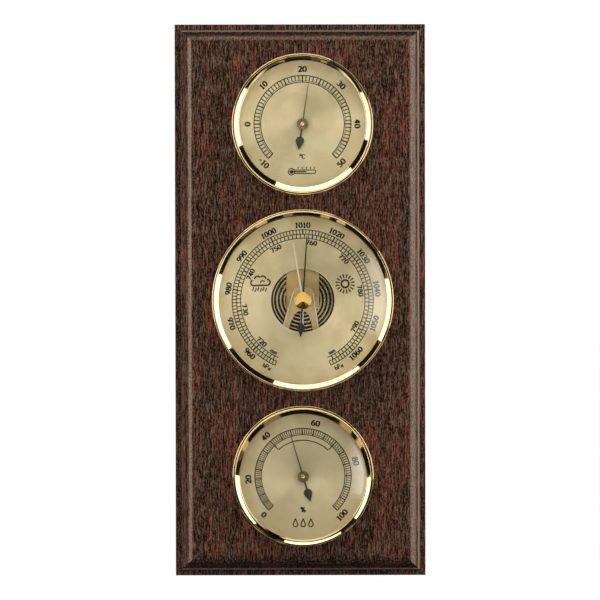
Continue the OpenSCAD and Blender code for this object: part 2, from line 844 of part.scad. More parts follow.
module hand_bracket() on_board() color(grey_metal) rotate(-bracket_turn) difference() {
    union() for (side = [0, 1]) mirror([side, 0, 0]) {
        translate([0, 0, bracket_bottom]) linear_extrude(height = bracket_t) polygon(bracket_face());
        translate([bracket_side(0), 0, 0]) rotate(bracket_spread)
            block(
                [-bracket_t, leg_z / cos(bracket_spread), bracket_bottom - fold_d],
                [0, fold_top, bracket_top]
            );
        block(
            [bracket_foot_x() - leg_w / 2, leg_z - bracket_t, plate_top],
            [bracket_foot_x() + leg_w / 2, leg_z, bracket_top]
        );
        block(
            [bracket_foot_x() - leg_w / 2, leg_z - bracket_t - bracket_foot_l, plate_top],
            [bracket_foot_x() + leg_w / 2, leg_z, plate_top + bracket_t]
        );
    }
    disc(bush_hole_r + slip, bracket_bottom - over, bracket_top + over);
    rotate(bracket_turn) at_bracket_feet()
        disc(screw_r + seat, plate_top - over, plate_top + bracket_t + over);
}

module bracket_screws() on_board() color(steel)
    at_bracket_feet() small_screw(plate_top + bracket_t, bracket_t + plate_t);

module pivot_strap() on_board() color(brass) rotate(-bracket_turn) difference() {
    union() {
        block(
            [-post_at - post_r, -strap_w / 2, strap_bottom],
            [post_at + post_r, strap_w / 2, strap_bottom + strap_t]
        );
        for (x = [-1, 1])
            translate([x * post_at, 0, 0]) disc(post_r, strap_bottom + strap_t / 2, bracket_bottom);
    }
    disc(pivot_r + slip, strap_bottom - over, strap_bottom + strap_t + over);
}

module hand_arbor() on_board() color(steel) union() {
    disc(pivot_r, strap_bottom + slip, drum_bottom);
    disc(drum_r, drum_bottom, drum_bottom + drum_h);
    disc(hair_core_r, drum_bottom + drum_h, hair_bottom + hair_h);
    disc(bush_hole_r, hair_bottom, hand_z + hand_hub_h - hub_wall - slip);
}

module hairspring() on_board() color(spring_tan) {
    middle_in = hair_core_r + seat + hair_t / 2;
    middle_out = post_at - post_r - seat - hair_t / 2;
    gap = (middle_out - middle_in) / hair_turns - hair_t;
    echo(hairspring_gap = gap);
    rotate(-bracket_turn) translate([0, 0, hair_bottom]) linear_extrude(height = hair_h)
        polygon(spiral(middle_in, middle_out, hair_turns, hair_t));
}

module main_lever() on_board() color(steel)
    block([-lever_w / 2, pin_z - eye_r, spring_top], [lever_w / 2, lever_start, spring_top + lever_t]);

module lever_link() on_board() color(steel) difference() {
    union() {
        block([-link_t / 2, pin_z - link_half_w, rocker_y], [link_t / 2, pin_z + link_half_w, spring_top]);
        translate([-link_t / 2, pin_z, rocker_y]) rotate([0, 90, 0]) cylinder(r = eye_r, h = link_t);
    }
    translate([-over, pin_z, rocker_y]) rotate([0, 90, 0]) cylinder(r = eye_hole_r, h = 2 * over);
}

module rocker_stand() on_board() color(brass) difference() {
    union() {
        block(
            [-ear_x - ear_t, rocker_z - ear_w / 2, plate_top],
            [ear_x + ear_t, rocker_z + ear_w / 2, plate_top + ear_t]
        );
        for (x = [-ear_x - ear_t, ear_x])
            block(
                [x, rocker_z - ear_w / 2, plate_top],
                [x + ear_t, rocker_z + ear_w / 2, rocker_y + ear_w / 2]
            );
    }
    translate([-ear_x - ear_t - over, rocker_z, rocker_y]) rotate([0, 90, 0])
        cylinder(r = rocker_shaft_r + slip, h = 2 * (ear_x + ear_t + over));
}

module rocker() on_board() color(steel) union() {
    translate([-rocker_half_l, rocker_z, rocker_y]) rotate([0, 90, 0])
        cylinder(r = rocker_shaft_r, h = 2 * rocker_half_l);
    block(
        [chain_x - rocker_arm_t / 2, rocker_z - rocker_arm_half, rocker_y],
        [chain_x + rocker_arm_t / 2, rocker_z + rocker_arm_half, rocker_y + rocker_arm]
    );
    block(
        [short_arm_x, rocker_z, rocker_y - short_arm_half],
        [short_arm_x + rocker_arm_t, pin_z + short_arm_half, rocker_y + short_arm_half]
    );
    translate([-pin_out, pin_z, rocker_y]) rotate([0, 90, 0])
        cylinder(r = pin_r, h = pin_out + short_arm_x + rocker_arm_t / 2);
}

module drive_chain() on_board() color(steel)
    translate([chain_x, 0, drum_bottom + drum_h / 2]) rotate([90, 0, 0])
        cylinder(r = chain_r, h = -rocker_z - rocker_arm_half);

module barometer_hand() on_board() color(blue_steel) rotate(-barometer_turn) difference() {
    union() {
        translate([0, 0, hand_z]) linear_extrude(height = pointer_t) {
            polygon([[-hand_root, 0], [hand_root, 0], [hand_tip, hand_l], [-hand_tip, hand_l]]);
            translate([-hand_tip, -lozenge_at]) square([2 * hand_tip, lozenge_at]);
            polygon([
                [0, -lozenge_at + lozenge_l], [lozenge_r, -lozenge_at],
                [0, -hand_tail], [-lozenge_r, -lozenge_at],
            ]);
        }
        disc(hand_hub_r, hand_z, hand_z + hand_hub_h);
    }
    disc(bush_hole_r + seat, hand_z - over, hand_z + hand_hub_h - hub_wall);
}

module set_hand() on_board() color(pale_brass) rotate(-set_turn) difference() {
    union() {
        translate([0, 0, set_hand_top - pointer_t]) linear_extrude(height = pointer_t)
            polygon([[-set_root, 0], [set_root, 0], [set_tip, set_hand_l], [-set_tip, set_hand_l]]);
        disc(set_flange_r, set_hand_top - pointer_t, set_hand_top);
    }
    disc(set_stem_r + seat, set_hand_top - pointer_t - over, set_hand_top + over);
}

module set_hand_bush() on_board() color(brass) union() {
    disc(set_stem_r, set_hand_top - pointer_t, stem_top);
    disc(set_flange_r, set_hand_top, set_flange_top);
}

module set_hand_washer() on_board() color(steel)
    ring(washer_r, glass_hole_r, glass_outer + slip / 2, glass_outer + slip / 2 + washer_t);

module set_knob() on_board() color(brass) difference() {
    union() {
        disc(knob_r, knob_bottom, knob_bottom + knob_skirt_h);
        translate([0, 0, knob_bottom + knob_skirt_h])
            cylinder(r1 = knob_r, r2 = knob_tip_r, h = knob_h - knob_skirt_h);
    }
    disc(set_stem_r + seat, knob_bottom - over, stem_top + seat);
}

board();
hanger_plate();
hanger_screws();
thermometer_case();
thermometer_clips();
thermometer_bezel();
thermometer_glass();
thermometer_spacer();
thermometer_dial();
thermometer_bush();
thermometer_adjuster();
thermometer_coil_bracket();
bimetal_coil();
thermometer_arbor();
thermometer_pointer();
thermometer_cap();
hygrometer_case();
hygrometer_clips();
hygrometer_bezel();
hygrometer_glass();
hygrometer_spacer();
hygrometer_dial();
hygrometer_bush();
hygrometer_adjuster();
hygrometer_coil_bracket();
humidity_coil();
hygrometer_arbor();
hygrometer_pointer();
hygrometer_cap();
barometer_case();
barometer_clips();
barometer_bezel();
barometer_glass();
barometer_spacer();
barometer_dial();
movement_plate();
movement_screws();
aneroid_capsule();
capsule_stud();
leaf_spring();
leaf_spring_screws();
pressure_screw();
hand_bracket();
bracket_screws();
pivot_strap();
hand_arbor();
hairspring();
main_lever();
lever_link();
rocker_stand();
rocker();
drive_chain();
barometer_hand();
set_hand();
set_hand_bush();
set_hand_washer();
set_knob();
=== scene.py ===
"""Looks of a wall-hung weather station: a moulded board with three brass-bezelled dials.

Lengths in the classes are millimetres on the object's own axes; the scene itself is in metres.
"""

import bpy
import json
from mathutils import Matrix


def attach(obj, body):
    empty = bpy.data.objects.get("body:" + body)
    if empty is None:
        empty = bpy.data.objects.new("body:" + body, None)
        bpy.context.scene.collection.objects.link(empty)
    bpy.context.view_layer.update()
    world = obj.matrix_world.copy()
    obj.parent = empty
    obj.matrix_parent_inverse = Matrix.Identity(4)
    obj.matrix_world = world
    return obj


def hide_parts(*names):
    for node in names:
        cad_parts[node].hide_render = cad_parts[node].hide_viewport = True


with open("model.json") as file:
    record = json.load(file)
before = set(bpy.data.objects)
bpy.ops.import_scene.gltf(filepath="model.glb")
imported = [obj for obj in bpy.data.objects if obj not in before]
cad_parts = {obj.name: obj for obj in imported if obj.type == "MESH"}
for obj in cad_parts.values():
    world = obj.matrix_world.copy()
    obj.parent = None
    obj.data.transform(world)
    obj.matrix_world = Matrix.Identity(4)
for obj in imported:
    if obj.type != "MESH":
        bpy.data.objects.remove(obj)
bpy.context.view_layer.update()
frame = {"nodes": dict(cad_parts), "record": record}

import json
import logging
import math
from dataclasses import dataclass, field
from enum import Enum

import bpy
from mathutils import Matrix, Vector

log = logging.getLogger("weather_station")

MM = 0.001
BOARD_FACE = 18.0
BOARD_WIDTH = 137.0
BOARD_HEIGHT = 302.0
DIAL_FACE = 1.1
DIAL_THICK = 0.5
SMALL_BORE = 35.4
BIG_BORE = 46.7
INK_LIFT = 0.01
INK_THICK = 0.03
HECTOPASCALS_PER_MM = 1.33322

RECORD = frame["record"]
BODY_OF = {node: body for body, nodes in RECORD["behaviour"]["bodies"].items() for node in nodes}

SMALL_DIALS = ("thermometer", "hygrometer")
WHITE = (1.0, 1.0, 1.0, 1.0)

Colour = tuple[float, float, float]
Outline = list[tuple[float, float]]
Socket = bpy.types.NodeSocket
Object = bpy.types.Object
Material = bpy.types.Material


def linear(colour: Colour) -> tuple[float, float, float, float]:
    """Turns a colour as seen on a screen into the renderer's linear values.

    Args:
        colour: Red, green and blue from 0 to 255.

    Returns:
        Linear red, green, blue and an alpha of one.
    """
    parts = [c / 255 for c in colour]
    flat = [c / 12.92 if c <= 0.04045 else ((c + 0.055) / 1.055) ** 2.4 for c in parts]
    return flat[0], flat[1], flat[2], 1.0


@dataclass(frozen=True)
class Axis:
    """The axis of an instrument, square to the face of the board."""

    right: float
    up: float

    @classmethod
    def of_joint(cls, name: str) -> "Axis":
        """Takes the axis from one of the record's joints."""
        joint = next(j for j in RECORD["behaviour"]["joints"] if j["name"] == name)
        return cls(joint["pos_m"][0] / MM, joint["pos_m"][2] / MM)

    @property
    def pivot(self) -> Vector:
        """Where the axis meets the back of the board, in metres."""
        return Vector((self.right, 0.0, self.up)) * MM

    def flat(self, x: float, z: float, forward: float) -> Vector:
        """Places a point given by its distances right of and above the axis.

        Args:
            x: Distance to the right.
            z: Distance up.
            forward: Height over the face of the board.

        Returns:
            The point in metres of the shared frame.
        """
        return Vector((self.right + x, -(BOARD_FACE + forward), self.up + z)) * MM

    def polar(self, radius: float, turn: float, forward: float) -> Vector:
        """Places a point given by its radius and its clockwise turn from the top.

        Args:
            radius: Distance from the axis.
            turn: Degrees clockwise from the top.
            forward: Height over the face of the board.

        Returns:
            The point in metres of the shared frame.
        """
        angle = math.radians(turn)
        return self.flat(radius * math.sin(angle), radius * math.cos(angle), forward)


def bend(centre: tuple[float, float], radius: float, start: float, end: float, steps: int) -> Outline:
    """Lists the points of an arc in a profile.

    Args:
        centre: Middle of the arc, as radius and height.
        radius: Radius of the arc.
        start: First angle in degrees, anticlockwise from the radius direction.
        end: Last angle in degrees.
        steps: Number of straight steps.

    Returns:
        The points, first and last included.
    """
    angles = [math.radians(start + (end - start) * i / steps) for i in range(steps + 1)]
    return [(centre[0] + radius * math.cos(a), centre[1] + radius * math.sin(a)) for a in angles]


def oval(x: float, z: float, wide: float, high: float, start: float, end: float) -> Outline:
    """Lists the points of a stretch of an upright oval.

    Args:
        x: Right of its middle.
        z: Height of its middle.
        wide: Half its width.
        high: Half its height.
        start: First angle in degrees, anticlockwise from the right.
        end: Last angle in degrees.

    Returns:
        The points, first and last included.
    """
    steps = max(4, round(abs(end - start) / 18))
    angles = [math.radians(start + (end - start) * i / steps) for i in range(steps + 1)]
    return [(x + wide * math.cos(a), z + high * math.sin(a)) for a in angles]


def halves(x: float, z: float, wide: float, high: float) -> list[Outline]:
    """Lists the upper and the lower half of a whole upright oval."""
    return [oval(x, z, wide, high, start, start + 180) for start in (0, 180)]


def ribbon(points: Outline, upright: float, level: float) -> Outline:
    """Gives a line the width of an oval pen that is held level.

    Args:
        points: The line's points.
        upright: Width of the line where it runs up or down.
        level: Width of the line where it runs across.

    Returns:
        The outline of the drawn stroke.
    """
    left, right = [], []
    for i, (x, z) in enumerate(points):
        before, after = points[max(0, i - 1)], points[min(len(points) - 1, i + 1)]
        nx, nz = before[1] - after[1], after[0] - before[0]
        reach = math.hypot(upright * nx, level * nz) * 2 or 1.0
        dx, dz = upright * upright * nx / reach, level * level * nz / reach
        left.append((x + dx, z + dz))
        right.append((x - dx, z - dz))
    return left + right[::-1]


# Shader nodes


class Nodes:
    """A node tree with short calls that add nodes and join them."""

    def __init__(self, tree: bpy.types.NodeTree) -> None:
        """Keeps the tree that the calls add to."""
        self.tree = tree

    @classmethod
    def of_material(cls, name: str) -> "Nodes":
        """Starts a material with an empty tree.

        Args:
            name: The material's name.

        Returns:
            The helper of the material's tree.
        """
        material = bpy.data.materials.new(name)
        material.use_nodes = True
        material.node_tree.nodes.clear()
        return cls(material.node_tree)

    def finish(self, shader: bpy.types.Node) -> Material:
        """Joins the last shader to the material's output and returns the material.

        Args:
            shader: The shader whose first output is the surface.

        Returns:
            The finished material.
        """
        out = self.add("ShaderNodeOutputMaterial")
        self.tree.links.new(shader.outputs[0], out.inputs[0])
        return next(m for m in bpy.data.materials if m.node_tree == self.tree)

    def add(self, kind: str, inputs: dict | None = None, **settings: object) -> bpy.types.Node:
        """Adds a node, sets it and feeds its sockets.

        Args:
            kind: Type name of the node.
            inputs: Values or sockets for the node's inputs, by socket name or number.
            **settings: Properties of the node itself.

        Returns:
            The new node.
        """
        node = self.tree.nodes.new(kind)
        for name, value in settings.items():
            setattr(node, name, value)
        for name, value in (inputs or {}).items():
            if isinstance(value, Socket):
                self.tree.links.new(value, node.inputs[name])
            else:
                node.inputs[name].default_value = value
        return node

    def math(self, operation: str, *values: object, clamp: bool = False) -> Socket:
        """Adds a Math node and returns its output."""
        node = self.add("ShaderNodeMath", dict(enumerate(values)), operation=operation, use_clamp=clamp)
        return node.outputs[0]

    def mix(self, share: object, first: object, second: object) -> Socket:
        """Adds a colour Mix node and returns its output.

        Args:
            share: How much of the second colour shows, from 0 to 1.
            first: The colour at 0.
            second: The colour at 1.

        Returns:
            The mixed colour's socket.
        """
        return self.add("ShaderNodeMix", {0: share, 6: first, 7: second}, data_type="RGBA").outputs[2]

    def span(
        self, value: object, low: float, high: float, to_low: float = 0.0, to_high: float = 1.0
    ) -> Socket:
        """Maps one range of a value smoothly onto another, clamped.

        Args:
            value: The value's socket.
            low: Where the source range starts.
            high: Where it ends.
            to_low: What its start becomes.
            to_high: What its end becomes.

        Returns:
            The mapped value's socket.
        """
        inputs = {"Value": value, "From Min": low, "From Max": high, "To Min": to_low, "To Max": to_high}
        return self.add("ShaderNodeMapRange", inputs, interpolation_type="SMOOTHSTEP").outputs[0]

    def place(self) -> Socket:
        """Returns the object's own coordinates, in metres."""
        return self.add("ShaderNodeTexCoord").outputs["Object"]

    def group(self, tree: bpy.types.NodeTree, inputs: dict) -> Socket:
        """Places a shared effect and returns its first output.

        Args:
            tree: The effect's node group.
            inputs: Values or sockets for its inputs, by name.

        Returns:
            The effect's value socket.
        """
        return self.add("ShaderNodeGroup", inputs, node_tree=tree).outputs[0]


class Effects:
    """The surface effects that several finishes share, each a node group that is made once."""

    def __init__(self) -> None:
        """Makes the node groups."""
        self.fibres = self._fibres()
        self.turning = self._turning()
        self.smudges = self._smudges()

    @staticmethod
    def _start(
        name: str, inputs: dict[str, tuple[str, float]], output: str
    ) -> tuple[Nodes, bpy.types.Node, bpy.types.Node]:
        """Starts a node group with named sockets.

        Args:
            name: The group's name.
            inputs: Socket kind and default value of each input.
            output: Name of the one output.

        Returns:
            The tree's helper, its input node and its output node.
        """
        tree = bpy.data.node_groups.new(name, "ShaderNodeTree")
        for label, (kind, value) in inputs.items():
            socket = tree.interface.new_socket(label, in_out="INPUT", socket_type=kind)
            if kind == "NodeSocketFloat":
                socket.default_value = value
        tree.interface.new_socket(output, in_out="OUTPUT", socket_type="NodeSocketFloat")
        nodes = Nodes(tree)
        return nodes, nodes.add("NodeGroupInput"), nodes.add("NodeGroupOutput")

    def _fibres(self) -> bpy.types.NodeTree:
        """Makes long streaks that run along one axis, as in wood fibre or brushed metal.

        Returns:
            The node group.
        """
        nodes, given, out = self._start(
            "fibres",
            {
                "Place": ("NodeSocketVector", 0),
                "Width": ("NodeSocketFloat", 0.001),
                "Length": ("NodeSocketFloat", 0.03),
                "Detail": ("NodeSocketFloat", 3.0),
            },
            "Streaks",
        )
        across = nodes.math("DIVIDE", 1.0, given.outputs["Width"])
        along = nodes.math("DIVIDE", 1.0, given.outputs["Length"])
        scale = nodes.add("ShaderNodeCombineXYZ", {0: across, 1: across, 2: along}).outputs[0]
        place, detail = given.outputs["Place"], given.outputs["Detail"]
        stretched = nodes.add("ShaderNodeVectorMath", {0: place, 1: scale}, operation="MULTIPLY").outputs[0]
        noise = nodes.add(
            "ShaderNodeTexNoise", {"Vector": stretched, "Scale": 1.0, "Detail": detail, "Roughness": 0.55}
        )
        nodes.tree.links.new(noise.outputs[0], out.inputs[0])
        return nodes.tree

    def _turning(self) -> bpy.types.NodeTree:
        """Makes the fine circles that a lathe or a rotary brush leaves round an axis along Y.

        Returns:
            The node group.
        """
        nodes, given, out = self._start(
            "turning",
            {
                "Place": ("NodeSocketVector", 0),
                "Centre": ("NodeSocketVector", 0),
                "Pitch": ("NodeSocketFloat", 0.0002),
            },
            "Circles",
        )
        place, centre = given.outputs["Place"], given.outputs["Centre"]
        arm = nodes.add("ShaderNodeVectorMath", {0: place, 1: centre}, operation="SUBTRACT").outputs[0]
        parts = nodes.add("ShaderNodeSeparateXYZ", {0: arm})
        flat = nodes.add("ShaderNodeCombineXYZ", {0: parts.outputs[0], 2: parts.outputs[2]}).outputs[0]
        radius = nodes.add("ShaderNodeVectorMath", {0: flat}, operation="LENGTH").outputs["Value"]
        rings = nodes.math("DIVIDE", radius, given.outputs["Pitch"])
        direction = nodes.math("ARCTAN2", parts.outputs[0], parts.outputs[2])
        point = nodes.add("ShaderNodeCombineXYZ", {0: rings, 1: direction}).outputs[0]
        noise = nodes.add("ShaderNodeTexNoise", {"Vector": point, "Scale": 1.0, "Detail": 2.0})
        nodes.tree.links.new(noise.outputs[0], out.inputs[0])
        return nodes.tree

    def _smudges(self) -> bpy.types.NodeTree:
        """Makes soft uneven patches, as handling and age leave on a surface.

        Returns:
            The node group.
        """
        nodes, given, out = self._start(
            "smudges",
            {"Place": ("NodeSocketVector", 0), "Size": ("NodeSocketFloat", 0.02)},
            "Patches",
        )
        scale = nodes.math("DIVIDE", 1.0, given.outputs["Size"])
        noise = nodes.add(
            "ShaderNodeTexNoise",
            {"Vector": given.outputs["Place"], "Scale": scale, "Detail": 4.0, "Roughness": 0.6},
        )
        value = nodes.span(noise.outputs[0], 0.35, 0.65)
        nodes.tree.links.new(value, out.inputs[0])
        return nodes.tree


class Marks(Enum):
    """How the surface of a metal was worked."""

    PLAIN = "plain"
    BRUSHED = "brushed"
    TURNED = "turned"


@dataclass(frozen=True)
class Metal:
    """A metal finish with its working marks and its uneven tone.

    The tone goes from colour to shade. Spread is how far the roughness goes either way with it, pitch the
    distance of the marks, depth their strength and patch the size of the uneven patches.
    """

    TANGENT_TURN = 0.25
    MARKS_SHARE = 0.55

    name: str
    colour: Colour
    shade: Colour
    roughness: float
    spread: float = 0.08
    marks: Marks = Marks.PLAIN
    pitch: float = 0.3
    depth: float = 0.1
    axis: Axis = Axis(0.0, 0.0)
    metallic: float = 1.0
    anisotropy: float = 0.0
    patch: float = 14.0

    def make(self, effects: Effects) -> Material:
        """Builds the material.

        Args:
            effects: The shared node groups.

        Returns:
            The finished material.
        """
        nodes = Nodes.of_material(self.name)
        place = nodes.place()
        patches = nodes.group(effects.smudges, {"Place": place, "Size": self.patch * MM})
        if self.marks is Marks.TURNED:
            centre = tuple(self.axis.pivot)
            lines = nodes.group(effects.turning, {"Place": place, "Centre": centre, "Pitch": self.pitch * MM})
        elif self.marks is Marks.BRUSHED:
            given = {"Place": place, "Width": self.pitch * MM, "Length": 0.02, "Detail": 2.0}
            lines = nodes.group(effects.fibres, given)
        else:
            lines = nodes.group(effects.smudges, {"Place": place, "Size": 0.002})
        worked = nodes.math("MULTIPLY", lines, self.MARKS_SHARE)
        tone = nodes.math("ADD", nodes.math("MULTIPLY", patches, 1.0 - self.MARKS_SHARE), worked)
        colour = nodes.mix(tone, linear(self.colour), linear(self.shade))
        low, high = max(0.02, self.roughness - self.spread), self.roughness + self.spread
        bump = nodes.add("ShaderNodeBump", {"Strength": self.depth, "Distance": 0.00005, "Height": lines})
        shader = nodes.add(
            "ShaderNodeBsdfPrincipled",
            {
                "Base Color": colour,
                "Roughness": nodes.span(tone, 0.2, 0.8, low, high),
                "Metallic": self.metallic,
                "Anisotropic": self.anisotropy,
                "Anisotropic Rotation": self.TANGENT_TURN,
                "Normal": bump.outputs[0],
            },
        )
        if self.anisotropy:
            tangent = nodes.add("ShaderNodeTangent", direction_type="RADIAL", axis="Y")
            nodes.tree.links.new(tangent.outputs[0], shader.inputs["Tangent"])
        return nodes.finish(shader)


@dataclass(frozen=True)
class Grain:
    """One layer of upright streaks in wood.

    Its mask turns over smoothly where the noise goes from low to high, and share is how much of it shows. The
    shift, in metres, keeps the layers apart.
    """

    width: float
    length: float
    shift: tuple[float, float, float]
    low: float
    high: float
    share: float = 1.0

    def noise(self, nodes: Nodes, effects: Effects, place: object) -> Socket:
        """Adds the layer's noise.

        Args:
            nodes: The material's nodes.
            effects: The shared node groups.
            place: The object's coordinates.

        Returns:
            The noise's value socket.
        """
        moved = nodes.add("ShaderNodeVectorMath", {0: place, 1: self.shift}, operation="ADD").outputs[0]
        given = {"Place": moved, "Width": self.width * MM, "Length": self.length * MM, "Detail": 2.0}
        return nodes.group(effects.fibres, given)

    def mask(self, nodes: Nodes, noise: Socket) -> Socket:
        """Gives where the noise is high, from 0 to 1."""
        return nodes.span(noise, self.low, self.high)


@dataclass(frozen=True)
class StainedWood:
    """Open-grained wood, stained dark, with upright grain, and a moulding with painted highlights and painted
    shade.

    Both grits are one noise, which is dark in its high places and pale in its low ones.
    Its moulding masks are the painted highlight on the crown, the painted highlight on the step and the
    painted shade in the hollow. Each has its middle and its half width, as distances from the board's edge,
    and its depth, each on the left, right, top and bottom.
    """

    BANDS = Grain(8.0, 60.0, (0.0, 0.0, 0.0), 0.42, 0.6, 0.85)
    FIBRES = Grain(0.5, 28.0, (0.0, 0.0, 0.0), 0.46, 0.55)
    STRANDS = Grain(0.7, 34.0, (0.71, 0.13, 0.37), 0.46, 0.58)
    FLECKS = Grain(0.42, 7.0, (0.31, 0.17, 0.23), 0.53, 0.61, 0.46)
    PORES = Grain(0.42, 5.0, (0.53, 0.41, 0.11), 0.48, 0.58, 0.95)
    DARK_GRIT = Grain(0.6, 1.2, (0.23, 0.67, 0.19), 0.5, 0.64, 0.4)
    PALE_GRIT = Grain(0.6, 1.2, (0.23, 0.67, 0.19), 0.38, 0.48, 0.25)
    BAND_FLOOR = 0.1
    # Grit that breaks up the painted highlight on the moulding's crown.
    WORN_GRIT = (0.42, 0.58)
    # The moulding's painted light and shade: its depth on each side follows how the lamps light that side,
    # none on the bottom crown.
    MASKS = (
        ((8.3, 6.8, 7.9, 7.7), (1.4, 2.4, 1.4, 1.5), (0.95, 0.78, 0.32, 0.0)),
        ((3.6, 3.7, 3.7, 3.6), (0.6, 0.8, 0.65, 0.6), (0.1, 0.9, 0.55, 0.4)),
        ((2.0, 2.0, 5.0, 6.0), (2.4, 0.5, 1.8, 7.0), (0.45, 0.0, 0.85, 0.72)),
    )

    name: str
    half_width: float
    half_height: float
    deep: Colour = (24, 8, 3)
    middle: Colour = (82, 46, 34)
    red: Colour = (152, 74, 52)
    pore: Colour = (11, 3, 1)
    pale: Colour = (172, 143, 120)
    # Colour of the painted highlights on the moulding's crown and step.
    worn: Colour = (178, 154, 136)
    roughness: float = 0.38
    # Share of the board's depth in front of which the moulding's painted light and shade lie.
    worn_from: float = 0.6

    def make(self, effects: Effects) -> Material:
        """Builds the material.

        Args:
            effects: The shared node groups.

        Returns:
            The finished material.
        """
        nodes = Nodes.of_material(self.name)
        place = nodes.place()
        fibres = self.FIBRES.noise(nodes, effects, place)
        colour = nodes.mix(self.FIBRES.mask(nodes, fibres), linear(self.deep), linear(self.middle))
        strands = self.STRANDS.mask(nodes, self.STRANDS.noise(nodes, effects, place))
        bands = self.BANDS.noise(nodes, effects, place)
        rich = nodes.span(bands, self.BANDS.low, self.BANDS.high, self.BAND_FLOOR, self.BANDS.share)
        colour = nodes.mix(nodes.math("MULTIPLY", strands, rich), colour, linear(self.red))
        sunk = self.PORES.mask(nodes, self.PORES.noise(nodes, effects, place))
        colour = nodes.mix(nodes.math("MULTIPLY", sunk, self.PORES.share), colour, linear(self.pore))
        lit = self.FLECKS.mask(nodes, self.FLECKS.noise(nodes, effects, place))
        colour = nodes.mix(nodes.math("MULTIPLY", lit, self.FLECKS.share), colour, linear(self.pale))
        # Painted light on the moulding: highlights on the crown and the step, shade in the hollow.
        crown, step, hollow = self._moulding(nodes, place)
        # The hollow's painted shade takes the pores' dark colour.
        colour = nodes.mix(hollow, colour, linear(self.pore))
        dark, pale = self.DARK_GRIT, self.PALE_GRIT
        grit = dark.noise(nodes, effects, place)
        colour = nodes.mix(nodes.span(grit, dark.low, dark.high, 0.0, dark.share), colour, linear(self.pore))
        colour = nodes.mix(nodes.span(grit, pale.low, pale.high, pale.share, 0.0), colour, linear(self.pale))
        # The crown's painted highlight, broken up by grit, and the step's painted highlight.
        bare = nodes.math("MULTIPLY", crown, nodes.span(grit, *self.WORN_GRIT, 1.0, 0.5))
        colour = nodes.mix(nodes.math("MAXIMUM", bare, step), colour, linear(self.worn))
        patches = nodes.group(effects.smudges, {"Place": place, "Size": 0.03})
        rough = nodes.math("MULTIPLY_ADD", patches, 0.1, self.roughness)
        height = nodes.math("SUBTRACT", nodes.math("MULTIPLY", fibres, 0.5), sunk)
        bump = nodes.add("ShaderNodeBump", {"Strength": 0.3, "Distance": 0.0002, "Height": height})
        shader = nodes.add(
            "ShaderNodeBsdfPrincipled",
            {"Base Color": colour, "Roughness": rough, "Specular IOR Level": 0.05, "Normal": bump.outputs[0]},
        )
        return nodes.finish(shader)

    def _moulding(self, nodes: Nodes, place: object) -> list[Socket]:
        """Adds the masks of the painted highlights on the crown and the step and of the painted shade in the
        hollow, by distance from the edge.

        Args:
            nodes: The material's nodes.
            place: The object's coordinates.

        Returns:
            The three masks, from 0 to 1.
        """
        parts = nodes.add("ShaderNodeSeparateXYZ", {0: place})
        side = nodes.math("SUBTRACT", self.half_width * MM, nodes.math("ABSOLUTE", parts.outputs[0]))
        end = nodes.math("SUBTRACT", self.half_height * MM, nodes.math("ABSOLUTE", parts.outputs[2]))
        right = nodes.math("GREATER_THAN", parts.outputs[0], 0.0)
        top = nodes.math("GREATER_THAN", parts.outputs[2], 0.0)
        level = nodes.math("LESS_THAN", end, side)
        front = nodes.math("LESS_THAN", parts.outputs[1], -self.worn_from * BOARD_FACE * MM)
        inward = nodes.math("MULTIPLY", nodes.math("MINIMUM", side, end), front)

        def share(on_left: float, on_right: float, on_top: float, on_bottom: float) -> Socket:
            """Gives each side of the board its own value.

            Args:
                on_left: The value on the left.
                on_right: The value on the right.
                on_top: The value at the top.
                on_bottom: The value at the bottom.

            Returns:
                The value's socket.
            """
            upright = nodes.math("MULTIPLY_ADD", right, on_right - on_left, on_left)
            flat = nodes.math("MULTIPLY_ADD", top, on_top - on_bottom, on_bottom)
            return nodes.math("MULTIPLY_ADD", level, nodes.math("SUBTRACT", flat, upright), upright)

        masks = []
        # Each mask's depth differs by side, as light falls on that side.
        for middle, width, depth in self.MASKS:
            off = nodes.math("ABSOLUTE", nodes.math("SUBTRACT", inward, share(*(m * MM for m in middle))))
            away = nodes.math("DIVIDE", off, share(*(w * MM for w in width)))
            masks.append(nodes.math("MULTIPLY", nodes.span(away, 0.3, 1.0, 1.0, 0.0), share(*depth)))
        return masks


@dataclass(frozen=True)
class Print:
    """Printing ink on a dial."""

    name: str = "dial_ink"
    colour: Colour = (15, 12, 8)
    thin: Colour = (34, 28, 20)

    def make(self, effects: Effects) -> Material:
        """Builds the material.

        Args:
            effects: The shared node groups.

        Returns:
            The finished material.
        """
        nodes = Nodes.of_material(self.name)
        patches = nodes.group(effects.smudges, {"Place": nodes.place(), "Size": 0.0015})
        colour = nodes.mix(nodes.math("MULTIPLY", patches, 0.5), linear(self.colour), linear(self.thin))
        rough = nodes.span(patches, 0.0, 1.0, 0.45, 0.6)
        return nodes.finish(nodes.add("ShaderNodeBsdfPrincipled", {"Base Color": colour, "Roughness": rough}))


@dataclass(frozen=True)
class ClearGlass:
    """Clean window glass, which lets soft light through to what lies behind it."""

    name: str = "clear_glass"
    clearness: Colour = (250, 252, 250)

    def make(self, effects: Effects) -> Material:
        """Builds the material.

        Args:
            effects: The shared node groups.

        Returns:
            The finished material.
        """
        nodes = Nodes.of_material(self.name)
        patches = nodes.group(effects.smudges, {"Place": nodes.place(), "Size": 0.02})
        tint = nodes.mix(patches, WHITE, linear(self.clearness))
        inputs = {"Base Color": tint, "Roughness": 0.0, "IOR": 1.46, "Transmission Weight": 1.0}
        glass = nodes.add("ShaderNodeBsdfPrincipled", inputs)
        clear = nodes.add("ShaderNodeBsdfTransparent", {"Color": tint})
        path = nodes.add("ShaderNodeLightPath")
        soft = nodes.math("MAXIMUM", path.outputs["Is Shadow Ray"], path.outputs["Is Diffuse Ray"])
        glossy, through = path.outputs["Is Glossy Ray"], path.outputs["Is Transmission Ray"]
        soft = nodes.math("MAXIMUM", soft, nodes.math("SUBTRACT", glossy, through, clamp=True))
        mixed = nodes.add("ShaderNodeMixShader", {0: soft, 1: glass.outputs[0], 2: clear.outputs[0]})
        return nodes.finish(mixed)


